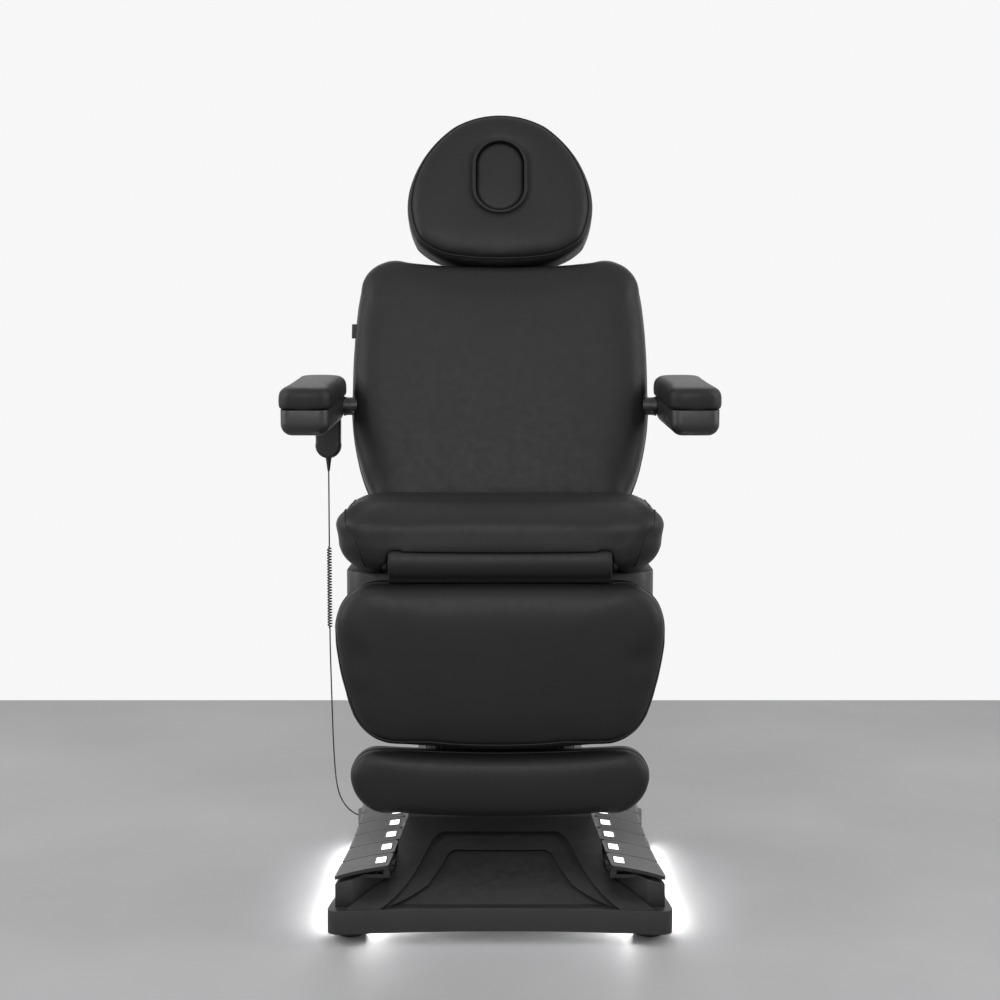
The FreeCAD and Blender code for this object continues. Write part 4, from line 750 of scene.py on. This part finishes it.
def seat_pad():
    pad = cushion("seat_cushion", 0.007, 0.010, under(682), shaped=fuller)
    for name, sign in (("left", -1), ("right", 1)):
        line = smoothed(spaced([at(x * sign, y, z) for x, y, z in SEAT_SEAM], 0.006, False), 30, False)
        piped("seat_piping_" + name, pad, line, False, sink=0.0024)
    finer(pad)


# Leg rest and foot rest

FRONT = Vector((0, -1, 0))
LEG_SEAM_NORMAL = Vector((0, -1, 0.13))
LEG_DROP, LEG_DROP_HALF, LEG_DROP_TOP, LEG_DROP_RISE = 0.012, 0.31, 0.47, 0.1


def deepened(place):
    """The lower edge of the leg rest bowed down by its padding."""
    low = eased_step((LEG_DROP_TOP - place.z) / LEG_DROP_RISE)
    drop = LEG_DROP * low * max(0, 1 - (place.x / LEG_DROP_HALF) ** 2)
    return place - Vector((0, 0, drop))


def leg_pads():
    leg = cushion("leg_cushion", 0.007, 0.012, behind(-222), grown=(1.022, 1.03), pressure=3.0,
                  shaped=deepened)
    piped("leg_piping", leg, section(leg, at(0, -270, 510), LEG_SEAM_NORMAL), True)
    finer(leg)
    foot = cushion("foot_cushion", 0.006, 0.009, behind(-226), grown=(1.008, 1.04))
    piped("foot_piping", foot, section(foot, at(0, -262, 0), FRONT), True)
    finer(foot)
    bolster = cushion("leg_bolster", 0.005, 0.001, under(668), grown=(1.036, 1.0))
    finer(bolster)


# Backrest and headrest

DIP_FILL, DIP_FOOT, DIP_RISE, DIP_HALF = 0.008, 0.45, 0.1, 0.26
BACK_SEAM, HEAD_SEAM = 80, 14


def straighter(place):
    """The dip in the backrest's top edge partly filled by its padding."""
    rise = eased_step(((place - BACK_FOOT).dot(UP) - DIP_FOOT) / DIP_RISE)
    return place + UP * DIP_FILL * rise * max(0, 1 - (place.x / DIP_HALF) ** 2)


def back_pad():
    pad = cushion("back_cushion", 0.0075, 0.012, deeper(90), tilt=SLOPE, grown=(1.032, 1.028),
                  pressure=3.0, shaped=straighter)
    piped("back_piping", pad, section(pad, lean(0, 0, BACK_SEAM), OUT), True)
    finer(pad)


HOLE_HALF_X, HOLE_HALF_UP, HOLE_MIDDLE = 53, 80, 573 + 190
WELT_OUT, WELT_SUNK, WELT_GROOVE, WELT_BESIDE = 3.4, 0.8, 8.5, 12


def oval(growth, depth, count=96):
    """Points round the face opening, drawn out by the growth."""
    half, straight = HOLE_HALF_X + growth, HOLE_HALF_UP - HOLE_HALF_X
    points = []
    for k in range(count):
        turn = 2 * math.pi * k / count
        end = straight if math.sin(turn) >= 0 else -straight
        points.append(lean(half * math.cos(turn), HOLE_MIDDLE + end + half * math.sin(turn), depth))
    return spaced(points, 0.003, True)


def head_pad():
    pad = cushion("headrest_cushion", 0.0055, 0.008, deeper(83), tilt=SLOPE)
    piped("head_piping", pad, section(pad, lean(0, 0, HEAD_SEAM), OUT), True)
    proud = 1000 * face_of(pad, lean(HOLE_HALF_X + WELT_BESIDE, HOLE_MIDDLE, 0), OUT)
    groove(pad, oval(WELT_GROOVE, -proud), 0.007, 0.0028)
    finer(pad)
    line = smoothed(oval(WELT_OUT, WELT_SUNK - proud), 3, True)
    welt = tube("face_opening_welt", line, 0.0040, True, vinyl, 12)
    fixed_to(welt, "head")
    plug = cushion("face_plug", 0.004, 0.002, deeper(70), tilt=SLOPE)
    finer(plug)


# Arms

ARM_AXIS = (192, 984)
ARM_FRONT, ARM_LENGTH, ARM_CLIMB, SHELL_TOP = -142, 358, 23, 986
ARM_RISE = math.atan2(ARM_CLIMB, ARM_LENGTH)
SLEEVE_X = 292
SLEEVE = [(0, 19), (30, 19), (34, 19.3), (37, 20), (39, 20.8), (40.4, 21), (40.4, 18)]


def on_shell(place):
    """Whether a place on an arm pad lies on the sloping top of its shell."""
    back = place.y * 1000 - at(0, ARM_FRONT, 0).y * 1000
    return place.z * 1000 < SHELL_TOP + ARM_CLIMB * back / ARM_LENGTH


def arms():
    for side, sign in (("left", -1), ("right", 1)):
        pad = cushion("arm_pad_" + side, 0.005, 0.007, on_shell, tilt=-ARM_RISE, grown=(1.06, 1.03))
        finer(pad)
        eased("arm_shell_" + side, 0.003, 3)
        sleeve = turned("arm_sleeve_" + side, at(sign * SLEEVE_X, *ARM_AXIS), Vector((sign, 0, 0)), SLEEVE,
                        sleeve_plastic)
        fixed_to(sleeve, "back")


# Pedals: a grid of low studs, and a smooth rim round each light

ROW_HALF, PEDAL_PITCH, PEDAL_COUNT, PEDAL_EDGE = 342, 85.5, 8, 2
# The inner and outer edges of a row, at its middle and at its ends
ROW_INNER, ROW_OUTER = (195, 208), (291, 310)
# A pedal's face: where it starts, how high, how steeply it falls outwards, and its bow
FACE_X, FACE_Z, FACE_FALL, FACE_BOW = 208, 145, math.radians(6), 0.00108
STUD_PITCH, STUD_FOOT, STUD_TOP, STUD_HIGH, STUD_SUNK = 3.4, 1.15, 0.7, 0.5, 0.3
STUD_INNER, STUD_OUTER, STUD_ENDS, LENS_CLEAR = 6, 5, 8, 4
LENS_X, LENS_Y, LENS_IN, LENS_POINTS = 9.6, 18, 19, 48
# How far each ring of a lens is drawn out, its corner radius, and its height over the pedal's face
LENS_RINGS = [(0, 2.5, -1.0), (0, 2.5, 0.3), (-0.5, 2.0, 0.7)]
RIM_RING, RIM_RADIUS, RIM_STEP = (0.7, 3, 0.1), 0.0012, 0.0015


def waisted(middle, end, y):
    """Where an edge of a pedal row lies, from its place at the middle to that at the ends."""
    return middle + (end - middle) * (y / ROW_HALF) ** 2


def pedal_face(x):
    """The height of a pedal's face."""
    out = x - FACE_X
    return FACE_Z - out * math.tan(FACE_FALL) - out * out * FACE_BOW


def light_x(y):
    """Where a pedal's light lies across the row."""
    return waisted(*ROW_INNER, y) + LENS_IN


def stud_grid(name, sign, low, high, mat):
    """Low square studs over the part of a pedal outside its light."""
    points, faces = [], []
    middle = (low + high) / 2
    light = light_x(middle)
    rows = int((high - low - STUD_ENDS) / STUD_PITCH)
    for row in range(rows + 1):
        y = middle + (row - rows / 2) * STUD_PITCH
        near, far = waisted(*ROW_INNER, y) + STUD_INNER, waisted(*ROW_OUTER, y) - STUD_OUTER
        columns = int((far - near) / STUD_PITCH)
        for column in range(columns + 1):
            x = near + (column + 0.5 * (row % 2)) * STUD_PITCH
            by_lens = abs(x - light) < LENS_X + LENS_CLEAR and abs(y - middle) < LENS_Y + LENS_CLEAR
            if x > far or by_lens:
                continue
            first = len(points)
            for half, rise in ((STUD_FOOT, -STUD_SUNK), (STUD_TOP, STUD_HIGH)):
                for step_x, step_y in ((-1, -1), (1, -1), (1, 1), (-1, 1)):
                    spot = x + step_x * half
                    points.append(at(spot * sign, y + step_y * half, pedal_face(spot) + rise))
            loop = [(first + k, first + (k + 1) % 4, first + 4 + (k + 1) % 4, first + 4 + k)
                    for k in range(4)]
            loop.append(tuple(range(first + 4, first + 8)))
            loop.append(tuple(range(first, first + 4))[::-1])
            faces += loop if sign > 0 else [face[::-1] for face in loop]
    obj = add_mesh(name, points, faces)
    paint(obj, mat)
    return obj


def window(sign, y, grow, corner, rise):
    """Points round a pedal's light, on the pedal's face."""
    points = []
    for k in range(LENS_POINTS):
        turn = 2 * math.pi * (k + 0.5) / LENS_POINTS
        across, along = math.cos(turn), math.sin(turn)
        spot_x = light_x(y) + math.copysign(LENS_X + grow - corner, across) + corner * across
        spot_y = y + math.copysign(LENS_Y + grow - corner, along) + corner * along
        points.append(at(sign * spot_x, spot_y, pedal_face(spot_x) + rise))
    return points


def light_lens(name, sign, y):
    """A pale lens let into a pedal over its light."""
    count = LENS_POINTS
    points = [place for ring in LENS_RINGS for place in window(sign, y, *ring)]
    faces = []
    for a, b in ((0, count), (count, 2 * count)):
        faces += [(a + k, a + (k + 1) % count, b + (k + 1) % count, b + k) for k in range(count)]
    faces += [tuple(range(count))[::-1], tuple(range(2 * count, 3 * count))]
    obj = add_mesh(name, points, faces if sign > 0 else [face[::-1] for face in faces])
    sharpen(obj.data, 35)
    paint(obj, pedal_light)
    return obj


def top_only(obj, top, rest):
    """One finish on the faces that look up and another on the rest; on a pedal the darker rest is painted
    shade along its sides.
    """
    paint(obj, top)
    obj.data.materials.append(rest)
    for face in obj.data.polygons:
        face.material_index = 0 if face.normal.z > 0.93 else 1


def pedals():
    top_only(nodes["pedal_lights"], pedal_light, painted_shade_plastic)
    for side, sign in (("left", -1), ("right", 1)):
        eased("pedal_tray_" + side, 0.002, mat=painted_shade_plastic)
        for index in range(PEDAL_COUNT):
            y = (index + 0.5) * PEDAL_PITCH - ROW_HALF
            body = "pedal_%s_%d" % (side, index + 1)
            # Each pedal's sides take the darker plastic: painted shade for the dark gaps between pedals
            top_only(eased(body, 0.0028, 4, flat=0.05), grip, painted_shade_plastic)
            low, high = y - PEDAL_PITCH / 2 + PEDAL_EDGE, y + PEDAL_PITCH / 2 - PEDAL_EDGE
            studs = stud_grid(body + "_studs", sign, low, high, grip)
            line = spaced(window(sign, y, *RIM_RING), RIM_STEP, True)
            rim = tube(body + "_rim", line, RIM_RADIUS, True, grip)
            fixed_to(joined(body + "_grip", [studs, rim]), body)
            fixed_to(light_lens(body + "_lens", sign, y), body)


# Small fittings

# A button-head screw with a round socket
SCREW = [(-2, 4.4), (0, 4.6), (1.2, 4.4), (2.0, 3.7), (2.5, 2.6), (2.6, 1.9), (1.0, 1.8), (1.0, 0.2)]
SCREW_X, SCREW_RISES = 130, (70, 250, 430)
KEY = [(-0.5, 5.6), (0.5, 5.6), (1.1, 5.2), (1.5, 4.2), (1.7, 2.4), (1.75, 0.3)]
KEY_ROWS, KEY_X, KEY_TOP, KEY_PITCH = 4, 0.0078, 0.014, 0.02


def back_screws():
    shell = nodes["back_shell"]
    pieces = []
    for up in SCREW_RISES:
        for sign in (-1, 1):
            spot = lean(sign * SCREW_X, up, 0)
            proud = face_of(shell, spot, -OUT)
            pieces.append(turned("screw", spot - OUT * proud, -OUT, SCREW, dark_steel, 24))
    fixed_to(joined("back_shell_screws", pieces), "back")


def handset_keys():
    low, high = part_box("handset_keypad")
    pieces = []
    for row in range(KEY_ROWS):
        for sign in (-1, 1):
            x = (low.x + high.x) / 2 + sign * KEY_X
            place = Vector((x, high.y, high.z - KEY_TOP - row * KEY_PITCH))
            pieces.append(turned("key", place, -FRONT, KEY, key_rubber, 24))
    fixed_to(joined("handset_keys", pieces), "arm_left")


# The tab's height up the backrest, its folded outline across and in depth, and its rows of points
TAB_UP, TAB_ROWS = 424, (-16, -15, 15, 16)
TAB_FOLD = [(-303, 46), (-318, 46), (-320.5, 47.5), (-318, 49), (-303, 49)]


def edge_tab():
    """A plain folded tab sewn into the seam of the backrest."""
    path = [lean(x, TAB_UP, depth) for x, depth in TAB_FOLD]
    points, faces = [], []
    for place in path:
        for rise in TAB_ROWS:
            points.append(place + UP * (rise / 1000))
    for i in range(len(path) - 1):
        faces += [(i * 4 + k, i * 4 + k + 1, i * 4 + k + 5, i * 4 + k + 4) for k in range(3)]
    obj = add_mesh("edge_tab", points, faces)
    thick = obj.modifiers.new("thick", "SOLIDIFY")
    thick.thickness = 0.0012
    obj.modifiers.new("fine", "SUBSURF").levels = 2
    settle(obj)
    sharpen(obj.data, 60)
    paint(obj, rubber)
    fixed_to(obj, "back")


handset_cord()
seat_pad()
leg_pads()
back_pad()
head_pad()
arms()
pedals()
back_screws()
handset_keys()
edge_tab()
eased("base_cover", 0.0042, 4)
eased("seat_cover", 0.003, 3)
eased("lift_shroud", 0.002)
eased("back_shell", 0.0015)
eased("handset", 0.001)
eased("levelling_feet", 0.0015)
